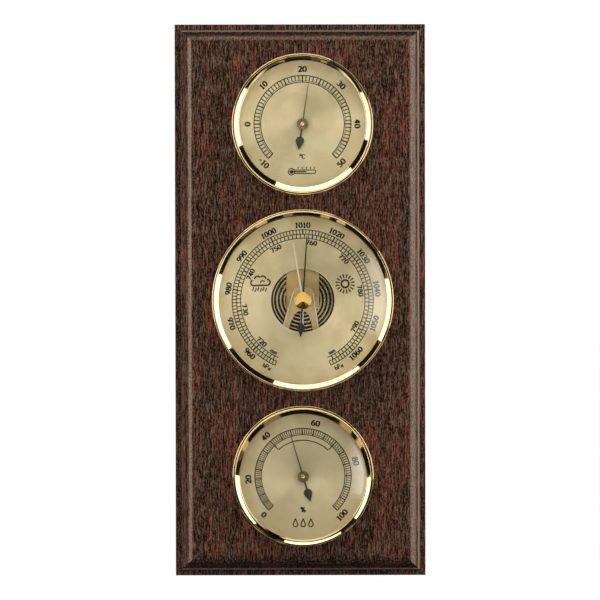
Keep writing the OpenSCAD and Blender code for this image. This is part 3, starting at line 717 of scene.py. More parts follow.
class Finishes:
    """Every finish of the object, each made into a material when it is first asked for."""

    def __init__(self, dials: dict[str, Axis]) -> None:
        """Lists the finishes by key.

        Args:
            dials: The axis of each instrument.
        """
        self.effects = Effects()
        self.made: dict[str, Material] = {}
        middle = dials["barometer"]
        turned, brushed = Marks.TURNED, Marks.BRUSHED
        brass, deep_brass = (240, 206, 132), (222, 180, 98)
        steel, dull_steel = (204, 200, 192), (182, 177, 168)
        bronze, deep_bronze = (255, 224, 156), (236, 196, 130)
        light, deep_light = (255, 243, 204), (250, 234, 188)
        nickel, deep_nickel = (220, 198, 150), (196, 172, 126)
        # A paler copy of the bracket's metal, a painted highlight for folded and broken edges.
        bright, deep_highlight = (255, 240, 200), (246, 226, 176)
        kinds = [
            StainedWood("dark_wood", BOARD_WIDTH / 2, BOARD_HEIGHT / 2),
            Metal("bezel_brass", (255, 236, 190), (253, 227, 166), 0.05, 0.02, depth=0.02),
            Metal("dull_brass", (226, 196, 130), (204, 170, 104), 0.3, marks=brushed),
            Metal("knob_brass", (255, 214, 130), (250, 200, 108), 0.1, 0.03, turned, 0.12, 0.04, middle),
            Metal("turned_brass", brass, deep_brass, 0.25, 0.08, turned, 0.2, 0.1, middle),
            Metal("plated_steel", steel, dull_steel, 0.42, 0.03, brushed, 0.4, 0.1, metallic=0.75),
            Metal("blued_steel", (54, 60, 60), (36, 44, 48), 0.4, metallic=0.4),
            Metal("dark_olive", (80, 80, 64), (56, 60, 50), 0.4, metallic=0.4),
            Metal("pale_brass", light, deep_light, 0.5, 0.05, brushed, 0.2, 0.05, metallic=0.1),
            Metal("spring_bronze", bronze, deep_bronze, 0.42, 0.1, brushed, 0.35, 0.15, metallic=0.4),
            Metal("bracket_nickel", nickel, deep_nickel, 0.4, 0.08, brushed, 0.3, 0.12, metallic=0.4),
            # Painted highlight for the bracket's folds and the broken edge of the dial's hole.
            Metal("bright_fold", bright, deep_highlight, 0.4, 0.08, brushed, 0.3, 0.1, metallic=0.1),
            # Painted shade for the groove of the bezels.
            Metal("groove_dark", (66, 52, 30), (44, 34, 18), 0.6, 0.1, metallic=0.4),
            Metal("capsule_dark", (180, 168, 142), (128, 118, 96), 0.24, 0.08, turned, 0.3, 0.1, middle),
            Metal("arbor_steel", (206, 200, 190), (164, 158, 148), 0.22, 0.06, brushed, 0.2, 0.05),
            Metal("hub_brass", (150, 132, 92), (116, 100, 66), 0.34, 0.08, metallic=0.8, patch=1.5),
            Metal("cap_brass", (255, 240, 206), (246, 220, 160), 0.16, 0.05, metallic=1.0, patch=1.0),
            Metal("bimetal", (186, 160, 124), (150, 126, 96), 0.35, 0.08, brushed, 0.3, 0.1),
            Metal("humidity_strip", (196, 176, 140), (160, 142, 110), 0.45, 0.08, metallic=0.6),
            ClearGlass(),
            Print(),
        ]
        satin = {"thermometer": 0.52, "barometer": 0.56, "hygrometer": 0.48}
        kinds += [self._dial(f"{name}_gold", axis, satin[name]) for name, axis in dials.items()]
        self.kinds = {kind.name: kind for kind in kinds}

    @staticmethod
    def _dial(name: str, axis: Axis, metallic: float) -> Metal:
        """Gives the satin gold of a dial, brushed round its own axis."""
        pale, deep = (255, 240, 198), (238, 214, 162)
        return Metal(name, pale, deep, 0.4, 0.05, Marks.TURNED, 0.4, 0.22, axis, metallic, 0.8)

    def get(self, key: str) -> Material:
        """Returns the material of a finish, made once."""
        if key not in self.made:
            self.made[key] = self.kinds[key].make(self.effects)
        return self.made[key]


# Modelling


class Bench:
    """The modelling steps that the pieces share."""

    def __init__(self, finishes: Finishes) -> None:
        """Keeps the finishes that pieces are dressed in."""
        self.finishes = finishes

    @staticmethod
    def deselect() -> None:
        """Leaves object mode and selects nothing."""
        if bpy.context.mode != "OBJECT":
            bpy.ops.object.mode_set(mode="OBJECT")
        bpy.ops.object.select_all(action="DESELECT")

    @staticmethod
    def pick(obj: Object) -> None:
        """Selects one object alone and makes it the active one.

        Args:
            obj: The object.
        """
        Bench.deselect()
        obj.select_set(True)
        bpy.context.view_layer.objects.active = obj

    @staticmethod
    def edit() -> None:
        """Goes into edit mode with vertices as what is picked."""
        bpy.ops.object.mode_set(mode="EDIT")
        bpy.ops.mesh.select_mode(type="VERT")

    @staticmethod
    def settle(obj: Object) -> None:
        """Writes an object's place into its mesh."""
        Bench.pick(obj)
        bpy.ops.object.transform_apply(location=True, rotation=True, scale=True)

    @staticmethod
    def drawn(name: str, points: list[Vector], closed: bool) -> Object:
        """Draws a line of points, one after the other, and stays in edit mode.

        Args:
            name: Name of the new object.
            points: The points in metres.
            closed: Whether the line comes back to its start.

        Returns:
            The object, in edit mode with all its points selected.
        """
        Bench.deselect()
        bpy.ops.mesh.primitive_plane_add(size=MM)
        obj = bpy.context.object
        obj.name = name
        Bench.edit()
        bpy.ops.mesh.merge(type="CENTER")
        bpy.ops.transform.translate(value=points[0])
        route = points + [points[0]] if closed else points
        for here, there in zip(route, route[1:]):
            bpy.ops.mesh.extrude_region_move(TRANSFORM_OT_translate={"value": there - here})
        bpy.ops.mesh.select_all(action="SELECT")
        bpy.ops.mesh.remove_doubles(threshold=1e-7)
        return obj

    def turned(
        self,
        name: str,
        profile: Outline,
        axis: Axis,
        steps: int = 160,
        closed: bool = True,
        start: float = 90.0,
        sweep: float = 360.0,
        smooth: float = 32.0,
    ) -> Object:
        """Turns a profile round a dial's axis.

        Args:
            name: Name of the piece.
            profile: Points as radius and height over the board.
            axis: The axis of the turn.
            steps: Number of steps round.
            closed: Whether the profile is a closed loop; otherwise it ends on the axis.
            start: Clockwise angle from the top at which the turn begins.
            sweep: Degrees turned, clockwise.
            smooth: Edges flatter than this many degrees are shaded smooth.

        Returns:
            The turned piece.
        """
        obj = self.drawn(name, [axis.polar(r, start, f) for r, f in profile], closed)
        bpy.ops.mesh.spin(steps=steps, angle=math.radians(sweep), center=axis.pivot, axis=(0.0, -1.0, 0.0))
        bpy.ops.mesh.select_all(action="SELECT")
        bpy.ops.mesh.remove_doubles(threshold=2e-7)
        if sweep < 360:
            bpy.ops.mesh.fill_holes(sides=len(profile))
        bpy.ops.mesh.normals_make_consistent(inside=False)
        self.shade(obj, smooth)
        return obj

    @staticmethod
    def shade(obj: Object, angle: float) -> None:
        """Shades an object smooth up to an angle between its faces."""
        Bench.pick(obj)
        bpy.ops.object.shade_smooth_by_angle(angle=math.radians(angle))

    @staticmethod
    def plate(name: str, outline: list[Vector], thickness: float) -> Object:
        """Makes a flat plate that faces the front from its outline.

        Args:
            name: Name of the piece.
            outline: Points of its back face, in metres.
            thickness: Thickness in millimetres, towards the front.

        Returns:
            The plate.
        """
        obj = Bench.drawn(name, outline, closed=True)
        bpy.ops.mesh.edge_face_add()
        bpy.ops.mesh.extrude_region_move(TRANSFORM_OT_translate={"value": (0.0, -thickness * MM, 0.0)})
        bpy.ops.mesh.select_all(action="SELECT")
        bpy.ops.mesh.normals_make_consistent(inside=False)
        Bench.deselect()
        return obj

    @staticmethod
    def joined(name: str, parts: list[Object]) -> Object:
        """Joins several meshes into one piece.

        Args:
            name: Name of the joined piece.
            parts: The meshes.

        Returns:
            The joined piece.
        """
        Bench.deselect()
        for part in parts:
            part.select_set(True)
        bpy.context.view_layer.objects.active = parts[0]
        if len(parts) > 1:
            bpy.ops.object.join()
        obj = bpy.context.view_layer.objects.active
        obj.name = name
        Bench.settle(obj)
        return obj

    @staticmethod
    def copied(source: Object, name: str) -> Object:
        """Copies an object with a mesh of its own.

        Args:
            source: The object that is copied.
            name: The copy's name.

        Returns:
            The copy, in the same place.
        """
        copy = bpy.data.objects.new(name, source.data.copy())
        bpy.context.scene.collection.objects.link(copy)
        copy.matrix_world = source.matrix_world
        return copy

    @staticmethod
    def cut(obj: Object, cutter: Object) -> None:
        """Cuts one solid out of another and throws the cutter away.

        Args:
            obj: The solid that is cut.
            cutter: The solid that is taken out of it.
        """
        change = obj.modifiers.new("cut", "BOOLEAN")
        change.operation = "DIFFERENCE"
        change.solver = "EXACT"
        change.object = cutter
        Bench.pick(obj)
        bpy.ops.object.modifier_apply(modifier=change.name)
        bpy.data.objects.remove(cutter, do_unlink=True)

    @staticmethod
    def soften(obj: Object, width: float, smooth: float = 35.0) -> None:
        """Merges a plain solid's faces, rounds its sharp edges and shades it.

        Args:
            obj: The solid.
            width: Width of the rounded edges.
            smooth: Edges flatter than this many degrees are shaded smooth.
        """
        Bench.settle(obj)
        if obj.data.has_custom_normals:
            bpy.ops.mesh.customdata_custom_splitnormals_clear()
        Bench.edit()
        bpy.ops.mesh.select_all(action="SELECT")
        bpy.ops.mesh.remove_doubles(threshold=1e-6)
        bpy.ops.mesh.dissolve_limited(angle_limit=math.radians(1.0))
        bpy.ops.mesh.normals_make_consistent(inside=False)
        Bench.pick(obj)
        change = obj.modifiers.new("rounded_edges", "BEVEL")
        change.width = width * MM
        change.segments = 2
        change.limit_method = "ANGLE"
        change.angle_limit = math.radians(40)
        bpy.ops.object.modifier_apply(modifier=change.name)
        Bench.shade(obj, smooth)
        Bench.level(obj)

    @staticmethod
    def level(obj: Object) -> None:
        """Keeps the shading of flat faces flat next to rounded edges.

        Args:
            obj: The piece, which is the active object.
        """
        weigh = obj.modifiers.new("weigh", "WEIGHTED_NORMAL")
        weigh.keep_sharp = True
        bpy.ops.object.modifier_apply(modifier=weigh.name)

    def dress(self, obj: Object, finish: str, *replaced: str, like: str = "") -> None:
        """Gives a piece its finish and ties it to its body.

        Args:
            obj: The piece.
            finish: Key of its finish.
            *replaced: CAD nodes that it stands for.
            like: The CAD node that it moves with, where it stands for none.
        """
        if finish:
            obj.data.materials.clear()
            obj.data.materials.append(self.finishes.get(finish))
        node = replaced[0] if replaced else like
        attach(obj, BODY_OF[node])
        if replaced:
            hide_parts(*replaced)
        log.info("%s: %d faces on %s", obj.name, len(obj.data.polygons), BODY_OF[node])


# Pieces


@dataclass
class WoodBoard:
    """The board with its moulded edge, its three bores and the pockets of its hanger.

    A pocket has its width, its depth, its height and the height of its middle on the board.
    """

    bench: Bench
    bores: list[tuple[Axis, float]]
    width: float = BOARD_WIDTH
    height: float = BOARD_HEIGHT
    rim: float = 3.4
    step: float = 0.9
    moulding: float = 6.4
    angle: float = 65.0
    hollow: float = 2.3
    soft: float = 0.3
    rim_bevel: tuple[float, float] = (0.12, 0.1)
    step_bevel: tuple[float, float] = (0.16, 0.18)
    plate_pocket: tuple[float, ...] = (34.1, 1.2, 14.1, 141.0)
    screw_pocket: tuple[float, ...] = (10.6, 8.2, 11.5, 140.95)

    def profile(self) -> Outline:
        """Lists the edge's profile from the rim to the field: depth from the side, height over the back.

        Returns:
            The profile's points.
        """
        rise = self.moulding / math.sin(math.radians(self.angle))
        rim_top = BOARD_FACE - self.step - rise * (1 - math.cos(math.radians(self.angle)))
        roll = rise - self.hollow
        foot = (self.rim, rim_top + self.step + self.hollow)
        crown = (self.rim + self.moulding, BOARD_FACE - roll)
        points = bend((self.soft, rim_top - self.soft), self.soft, 180, 90, 4)
        run, rise_by = self.rim_bevel
        points += [(self.rim - run, rim_top), (self.rim, rim_top + rise_by)]
        run, rise_by = self.step_bevel
        points += [(self.rim, rim_top + self.step - rise_by), (self.rim + run, rim_top + self.step)]
        points += bend(foot, self.hollow, -84, self.angle - 90, 9)
        points += bend(crown, roll, 90 + self.angle, 90, 20)[1:]
        return points

    def build(self) -> None:
        """Models the board and dresses it."""
        points = self.profile()
        start = points[0][1]
        self.bench.deselect()
        bpy.ops.mesh.primitive_cube_add(
            size=1, location=(0, -start / 2 * MM, 0), scale=(self.width * MM, start * MM, self.height * MM)
        )
        board = bpy.context.object
        board.name = "wood_board"
        self.bench.settle(board)
        self.bench.edit()
        bpy.ops.mesh.select_mode(type="FACE")
        bpy.ops.mesh.select_all(action="DESELECT")
        bpy.ops.object.mode_set(mode="OBJECT")
        for face in board.data.polygons:
            face.select = face.normal.y < -0.9
        bpy.ops.object.mode_set(mode="EDIT")
        for (d0, h0), (d1, h1) in zip(points, points[1:]):
            if d1 - d0 > 1e-6:
                bpy.ops.mesh.inset(thickness=(d1 - d0) * MM, depth=(h1 - h0) * MM)
            else:
                bpy.ops.mesh.extrude_region_move(TRANSFORM_OT_translate={"value": (0, -(h1 - h0) * MM, 0)})
        bpy.ops.object.mode_set(mode="OBJECT")
        for axis, radius in self.bores:
            self.bench.cut(board, self._rod(axis, radius))
        for pocket in (self.plate_pocket, self.screw_pocket):
            self.bench.cut(board, self._block(*pocket))
        self.bench.shade(board, 28)
        self.bench.level(board)
        self.bench.dress(board, "dark_wood", "board")

    @staticmethod
    def _rod(axis: Axis, radius: float) -> Object:
        """Makes a round cutter that goes through the board on an instrument's axis.

        Args:
            axis: The instrument's axis.
            radius: Radius of the bore.

        Returns:
            The cutter.
        """
        bpy.ops.mesh.primitive_cylinder_add(
            vertices=144,
            radius=radius * MM,
            depth=(BOARD_FACE + 12.0) * MM,
            location=axis.flat(0.0, 0.0, -BOARD_FACE / 2),
            rotation=(math.pi / 2, 0, 0),
        )
        return bpy.context.object

    @staticmethod
    def _block(width: float, depth: float, height: float, centre: float) -> Object:
        """Makes a square cutter that goes into the back of the board.

        Args:
            width: Its width.
            depth: How deep it cuts.
            height: Its height.
            centre: Height of its middle on the board.

        Returns:
            The cutter.
        """
        bpy.ops.mesh.primitive_cube_add(
            size=1,
            location=(0, (1.0 - depth) / 2 * MM, centre * MM),
            scale=(width * MM, (depth + 1.0) * MM, height * MM),
        )
        return bpy.context.object


@dataclass
class Housing:
    """The bezel, the glass and the bare dial of one instrument.

    Each value that ends in _in is a distance inwards from the outer radius of the bezel.
    """

    bench: Bench
    name: str
    axis: Axis
    radius: float
    height: float
    spacer: float
    dial_hole: float
    hole: float = 0.0
    steps: int = 176
    glass_thick: float = 1.7
    rise: float = 1.4
    wall_in: float = 1.7
    bead_in: float = 0.5
    seat_in: float = 1.35
    lip_in: float = 2.55
    sheet_in: float = 2.6
    dome_in: float = 4.85
    slope_run: float = 2.4
    sag: float = 0.08
    full_run: float = 2.85
    lip: float = 0.35
    crest: float = 0.25
    bead: float = 0.3
    groove: float = 0.35
    seat: float = 0.6
    broken_edge: tuple[float, float] = (0.66, 0.25)
    # Slopes of the faces of the hole's broken edge that get the painted highlight.
    broken_slope: tuple[float, float] = (0.99, 0.3)
    # Where the painted shade in the groove between wall and bead lies.
    groove_edges: tuple[float, float] = (0.05, 0.24)
    groove_height: float = 1.2

    def build(self) -> None:
        """Models the three pieces and dresses them."""
        turned, axis, steps = self.bench.turned, self.axis, self.steps
        bezel = turned(f"{self.name}_bright_bezel", self._bezel(), axis, steps, smooth=24)
        self.bench.dress(bezel, "bezel_brass", f"{self.name}_bezel")
        # Painted shade in the groove between wall and bead.
        self._darken_groove(bezel)
        pane = turned(f"{self.name}_clear_pane", self._pane(), axis, steps, self.hole > 0, smooth=30)
        self.bench.dress(pane, "clear_glass", f"{self.name}_glass")
        sheet = turned(f"{self.name}_gold_dial", self._dial(), axis, steps, smooth=30)
        self.bench.dress(sheet, f"{self.name}_gold", f"{self.name}_dial")
        # The broken edge of the dial's hole gets a painted highlight in the pale edge finish.
        sheet.data.materials.append(self.bench.finishes.get("bright_fold"))
        flattest, steepest = self.broken_slope
        for face in sheet.data.polygons:
            if steepest < -face.normal.y < flattest:
                face.material_index = 1

    def _bezel(self) -> Outline:
        """Lists the profile of the bezel: bead, groove, wall, crest, hollow slope, lip and seats.

        Returns:
            The profile's points, as radius and height over the board.
        """
        top = DIAL_FACE + self.spacer + self.glass_thick
        wall, crest = self.radius - self.wall_in, self.crest
        bead_at, bead = self.radius - self.bead_in, self.bead
        tilt = (self.height - top - self.lip) / self.full_run
        start = (wall - crest, self.height)
        end = (start[0] - self.slope_run, self.height - self.slope_run * tilt)
        length = math.hypot(start[0] - end[0], start[1] - end[1])
        side = ((end[1] - start[1]) / length, (start[0] - end[0]) / length)
        slope = []
        for i in range(1, 20):
            t = i / 20
            sag = self.sag * 4 * t * (1 - t)
            x, z = start[0] + (end[0] - start[0]) * t, start[1] + (end[1] - start[1]) * t
            slope.append((x - side[0] * sag, z - side[1] * sag))
        seat, inner = self.radius - self.seat_in, self.radius - self.lip_in
        brow = [(end[0] + 0.05, end[1]), (end[0], end[1] - 0.06), (end[0], top)]
        return (
            [(seat, 0.0), (self.radius - self.bead_in - 0.2, 0.0)]
            + bend((bead_at, bead), bead, -80, 170, 16)
            + [(wall, self.groove)]
            + bend((wall - crest, self.height - crest), crest, 0, 90, 8)
            + slope
            + brow
            + [(inner, top), (inner, self.seat), (seat, self.seat)]
        )

    def _darken_groove(self, bezel: Object) -> None:
        """Paints shade into the narrow groove between the bezel's wall and its bead, as a dark brass finish.

        Args:
            bezel: The bezel.
        """
        bezel.data.materials.append(self.bench.finishes.get("groove_dark"))
        wall_edge, bead_edge = self.groove_edges
        near, far = self.radius - self.wall_in - wall_edge, self.radius - self.bead_in - bead_edge
        for face in bezel.data.polygons:
            arm = (face.center - self.axis.pivot) / MM
            if near < math.hypot(arm.x, arm.z) < far and -arm.y - BOARD_FACE < self.groove_height:
                face.material_index = 1

    def _pane(self) -> Outline:
        """Lists the profile of the domed glass.

        Returns:
            The profile's points.
        """
        bottom, dome, edge = DIAL_FACE + self.spacer, self.radius - self.dome_in, self.radius - self.sheet_in
        radii = [self.hole + (dome - self.hole) * i / 26 for i in range(27)]
        under = [(r, bottom + self.rise * (1 - (r / dome) ** 2)) for r in radii]
        above = [(r, f + self.glass_thick) for r, f in reversed(under)]
        return under + [(edge, bottom), (edge, bottom + self.glass_thick)] + above

    def _dial(self) -> Outline:
        """Lists the profile of the dial, whose hole has a broken edge.

        Returns:
            The profile's points.
        """
        edge, back = self.radius - self.sheet_in, DIAL_FACE - DIAL_THICK
        wide, deep = self.broken_edge
        return [
            (self.dial_hole, back),
            (edge, back),
            (edge, DIAL_FACE),
            (self.dial_hole + wide, DIAL_FACE),
            (self.dial_hole, DIAL_FACE - deep),
        ]


# Printing


class Alphabet:
    """The figures and unit signs of the dials, each drawn once, one unit high, and then copied.

    A pen has its width where it runs up or down and where it runs across.
    """

    BOLD = (0.29, 0.18)
    LIGHT = (0.22, 0.16)
    DIGIT_WIDTH = 0.76
    WIDTHS = {
        "1": 0.66,
        "-": 0.64,
        "°": 0.44,
        "%": 0.9,
        "C": 0.84,
        "P": 0.66,
        "a": 0.62,
        "h": 0.6,
        "m": 0.84,
    }

    def __init__(self) -> None:
        """Lists the pen strokes of each sign."""
        self.drawn: dict[tuple[str, bool], Object] = {}
        six = [*halves(0.37, 0.30, 0.26, 0.26), oval(0.53, 0.34, 0.42, 0.57, 95, 178)]
        nine = [[(0.74 - x, 1.0 - z) for x, z in stroke] for stroke in six]
        self.strokes: dict[str, list[Outline]] = {
            "0": [oval(0.37, 0.5, 0.27, 0.45, 90, 270), oval(0.37, 0.5, 0.27, 0.45, -90, 90)],
            "1": [[(0.34, 0.02), (0.34, 0.97)], [(0.34, 0.9), (0.14, 0.78)], [(0.14, 0.05), (0.54, 0.05)]],
            "2": [
                oval(0.35, 0.69, 0.24, 0.26, 165, -25) + [(0.36, 0.3), (0.12, 0.07)],
                [(0.1, 0.06), (0.63, 0.06)],
                [(0.6, 0.03), (0.64, 0.24)],
            ],
            "3": [oval(0.34, 0.73, 0.21, 0.22, 155, -85), oval(0.34, 0.29, 0.26, 0.24, 85, -155)],
            "4": [[(0.46, 0.95), (0.08, 0.32)], [(0.04, 0.3), (0.69, 0.3)], [(0.48, 0.02), (0.48, 0.97)]],
            "5": [
                [(0.2, 0.9), (0.58, 0.9)],
                [(0.2, 0.94), (0.17, 0.5)],
                oval(0.34, 0.31, 0.26, 0.26, 128, -155),
            ],
            "6": six,
            "7": [[(0.1, 0.9), (0.64, 0.9)], [(0.6, 0.93), (0.28, 0.02)], [(0.12, 0.96), (0.12, 0.74)]],
            "8": halves(0.37, 0.72, 0.2, 0.22) + halves(0.37, 0.28, 0.26, 0.24),
            "9": nine,
            "-": [[(0.1, 0.45), (0.54, 0.45)]],
            "°": halves(0.22, 0.8, 0.15, 0.15),
            "C": [oval(0.44, 0.5, 0.34, 0.45, 42, 318)],
            "%": [
                *halves(0.22, 0.73, 0.14, 0.19),
                *halves(0.66, 0.27, 0.14, 0.19),
                [(0.66, 0.95), (0.22, 0.05)],
            ],
            "m": [
                [(0.12, 0.0), (0.12, 0.62)],
                oval(0.265, 0.44, 0.145, 0.16, 150, 0) + [(0.41, 0.0)],
                oval(0.555, 0.44, 0.145, 0.16, 180, 0) + [(0.7, 0.0)],
            ],
            "h": [[(0.12, 0.0), (0.12, 0.95)], oval(0.3, 0.42, 0.18, 0.18, 165, 0) + [(0.48, 0.0)]],
            "P": [
                [(0.14, 0.0), (0.14, 0.95)],
                [(0.1, 0.91), (0.36, 0.91)],
                oval(0.34, 0.69, 0.22, 0.22, 90, -90),
                [(0.36, 0.47), (0.12, 0.47)],
            ],
            "a": [*halves(0.29, 0.22, 0.18, 0.2), [(0.49, 0.0), (0.49, 0.6)]],
        }

    def width(self, sign: str) -> float:
        """Gives the width of a sign, as a share of its height."""
        return self.WIDTHS.get(sign, self.DIGIT_WIDTH)

    def get(self, sign: str, light: bool) -> Object:
        """Returns the drawing of a sign, one metre high on the front's plane, made once with each pen.

        Args:
            sign: The sign.
            light: Whether it is drawn with the light pen.

        Returns:
            The drawing, which is only copied.
        """
        key = (sign, light)
        if key not in self.drawn:
            pen = self.LIGHT if light else self.BOLD
            parts = []
            for points in self.strokes[sign]:
                outline = [Vector((x, 0.0, z)) for x, z in ribbon(points, *pen)]
                parts.append(Bench.plate("stroke", outline, INK_THICK))
            self.drawn[key] = Bench.joined(f"sign_{len(self.drawn)}", parts)
        return self.drawn[key]

    def clear(self) -> None:
        """Throws the drawings away."""
        for obj in self.drawn.values():
            bpy.data.objects.remove(obj, do_unlink=True)
        self.drawn.clear()


@dataclass
class Sign:
    """Drawings and figures that are printed on a dial."""

    bench: Bench
    alphabet: Alphabet
    axis: Axis
    dial: str
    parts: list[Object] = field(default_factory=list)

    @property
    def back(self) -> float:
        """Height of the back of the ink over the board."""
        return DIAL_FACE + INK_LIFT

    def ring(self, radius: float, width: float, start: float, end: float) -> None:
        """Prints an arc.

        Args:
            radius: Radius of its middle line.
            width: Width of the line.
            start: First angle, clockwise from the top.
            end: Last angle.
        """
        front, inner, outer = self.back + INK_THICK, radius - width / 2, radius + width / 2
        profile = [(inner, self.back), (outer, self.back), (outer, front), (inner, front)]
        steps = max(8, int(abs(end - start) / 2))
        self.parts.append(
            self.bench.turned("arc", profile, self.axis, steps, start=start, sweep=end - start, smooth=30)
        )

    def ticks(self, inner: float, outer: float, width: float, turns: list[float]) -> None:
        """Prints one tick and copies it round the dial.

        Args:
            inner: Radius of the ticks' inner ends.
            outer: Radius of their outer ends.
            width: Width of a tick.
            turns: Angles of the ticks, clockwise from the top, in rising order.
        """
        half = math.degrees(width / (inner + outer))
        corners = [(inner, -half), (outer, -half), (outer, half), (inner, half)]
        outline = [self.axis.polar(r, turns[0] + a, self.back) for r, a in corners]
        tick = self.bench.plate("ticks", outline, INK_THICK)
        self.bench.pick(tick)
        self.bench.edit()
        bpy.ops.mesh.select_all(action="SELECT")
        for before, after in zip(turns, turns[1:]):
            bpy.ops.mesh.spin(
                steps=1,
                dupli=True,
                angle=math.radians(after - before),
                center=self.axis.pivot,
                axis=(0.0, -1.0, 0.0),
            )
        self.bench.deselect()
        self.parts.append(tick)

    def figure(self, words: str, radius: float, turn: float, size: float, inward: bool = False) -> None:
        """Prints a number or a unit sign.

        Args:
            words: What is printed.
            radius: Distance of its middle from the dial's axis.
            turn: Its angle, clockwise from the top.
            size: Height of its digits.
            inward: Whether its top points to the dial's middle.
        """
        lean = Matrix.Rotation(math.radians(turn + 180 if inward else turn), 4, "Y")
        spot = Matrix.Translation(self.axis.polar(radius, turn, self.back))
        scale = Matrix.Diagonal((size * MM, 1.0, size * MM, 1.0))
        along = -sum(self.alphabet.width(sign) for sign in words) / 2
        for sign in words:
            mark = self.bench.copied(self.alphabet.get(sign, not words.lstrip("-").isdigit()), "figure")
            mark.matrix_world = spot @ lean @ scale @ Matrix.Translation((along, 0.0, -0.5))
            self.parts.append(mark)
            along += self.alphabet.width(sign)

    def stroke(self, points: Outline, width: float) -> None:
        """Prints a line of even width.

        Args:
            points: Its points, as distances right of and above the dial's middle.
            width: Its width.
        """
        self.patch(ribbon(points, width, width))

    def patch(self, points: Outline) -> None:
        """Prints a filled shape, whose outline is given right of and above the dial's middle."""
        outline = [self.axis.flat(x, z, self.back) for x, z in points]
        self.parts.append(self.bench.plate("patch", outline, INK_THICK))

    def loop(self, x: float, z: float, radius: float, width: float) -> None:
        """Prints a circle's outline round a point of the dial, in two halves."""
        for half in halves(x, z, radius, radius):
            self.stroke(half, width)

    def finish(self, name: str) -> None:
        """Joins all that was printed into one piece and inks it.

        Args:
            name: The piece's name.
        """
        piece = self.bench.joined(name, self.parts)
        self.bench.dress(piece, "dial_ink", like=self.dial)
        self.parts = []


@dataclass
class SmallDial:
    """What the printed dials of the two small instruments share.

    The scale runs from low to high with a figure at each step. Outer is the radius of its rim and fine the
    width of its fine ticks.
    """

    INNER, THIN = 22.8, 23.6
    FIGURES, DIGITS = 29.9, 3.2

    bench: Bench
    alphabet: Alphabet
    axis: Axis
    low: int = 0
    high: int = 100
    step: int = 20
    outer: float = 26.3
    fine: float = 0.42

    def turn(self, value: float) -> float:
        """Gives the angle of a value on the dial."""
        raise NotImplementedError

    def scale(self, sign: Sign) -> None:
        """Prints the rings and the ticks of the scale.

        Args:
            sign: The dial's printing.
        """
        for radius, width in ((self.outer, 0.5), (self.INNER, 0.48), (self.THIN, 0.26)):
            sign.ring(radius, width, self.turn(self.low), self.turn(self.high))
        sign.ticks(self.THIN, self.outer, self.fine, [self.turn(v) for v in range(self.low, self.high + 1)])
        sign.ticks(self.INNER, self.outer, 0.66, [self.turn(v) for v in range(self.low, self.high + 1, 5)])

    def figures(self, sign: Sign) -> None:
        """Prints the figures of the scale, of which the two ends stand upright."""
        for value in range(self.low, self.high + 1, self.step):
            inward = value in (self.low, self.high)
            sign.figure(str(value), self.FIGURES, self.turn(value), self.DIGITS, inward)


@dataclass
class Thermometer(SmallDial):
    """The printed dial of the thermometer."""

    UNIT_AT = 17.7
    SIGN_AT = -26.0
    ZERO_TURN, TURN_PER_DEGREE = 20, 4.5

    low: int = -10
    high: int = 50
    step: int = 10
    outer: float = 26.4
    fine: float = 0.54

    def turn(self, value: float) -> float:
        """Gives the angle of a temperature on the dial."""
        return (value - self.ZERO_TURN) * self.TURN_PER_DEGREE

    def build(self) -> None:
        """Prints the scale, the figures and the sign."""
        sign = Sign(self.bench, self.alphabet, self.axis, "thermometer_dial")
        self.scale(sign)
        sign.finish("thermometer_scale")
        self.figures(sign)
        sign.figure("°C", self.UNIT_AT, 180, 2.6, True)
        sign.finish("thermometer_figures")
        z = self.SIGN_AT
        sign.loop(-6.0, z, 1.75, 0.55)
        sign.patch(bend((-6.0, z), 1.05, 0, 330, 11))
        sign.stroke([(-4.5, z + 0.95), (6.2, z + 0.95)], 0.5)
        sign.stroke([(-4.5, z - 0.95), (6.2, z - 0.95)], 0.5)
        sign.stroke(oval(6.2, z, 0.95, 0.95, 90, -90), 0.5)
        sign.stroke([(-5.2, z), (2.0, z)], 0.7)
        for x in (-2.4, -0.2, 2.0, 4.2, 6.4):
            sign.stroke([(x, z + 1.6), (x, z + 2.7)], 0.5)
        sign.finish("thermometer_sign")


@dataclass
class Hygrometer(SmallDial):
    """The printed dial of the hygrometer, whose band from dry_end to damp_end is marked."""

    UNIT_AT = 18.1
    BAND_AT, BAND_FOOT = 19.8, 20.2

    dry_end: float = 40
    damp_end: float = 70
    known: tuple[tuple[float, float], ...] = (
        (0, -134.3),
        (10, -113.9),
        (20, -93.0),
        (30, -69.6),
        (35, -56.9),
        (40, -42.7),
        (50, -15.4),
        (60, 13.3),
        (65, 28.0),
        (70, 43.6),
        (80, 73.9),
        (90, 103.8),
        (100, 134.8),
    )

    def turn(self, value: float) -> float:
        """Gives the angle of a humidity on the dial, between the known marks."""
        for (h0, a0), (h1, a1) in zip(self.known, self.known[1:]):
            if value <= h1:
                return a0 + (a1 - a0) * (value - h0) / (h1 - h0)
        return self.known[-1][1]

    def build(self) -> None:
        """Prints the scale, the figures and the signs."""
        sign = Sign(self.bench, self.alphabet, self.axis, "hygrometer_dial")
        dry, damp = self.turn(self.dry_end), self.turn(self.damp_end)
        self.scale(sign)
        sign.ticks(self.BAND_FOOT, self.INNER, 0.6, [dry, damp])
        sign.finish("hygrometer_scale")
        self.figures(sign)
        sign.figure("%", self.UNIT_AT, 180, self.DIGITS, True)
        sign.finish("hygrometer_figures")
        sign.ring(self.BAND_AT, 0.55, dry, damp)
        for x in (-4.2, 0.0, 4.2):
            sign.stroke(oval(x, -26.2, 1.25, 1.25, 165, 375), 0.62)
            sign.stroke([(x - 1.21, -26.0), (x, -23.0)], 0.6)
            sign.stroke([(x + 1.21, -26.0), (x, -23.0)], 0.6)
        sign.finish("hygrometer_sign")


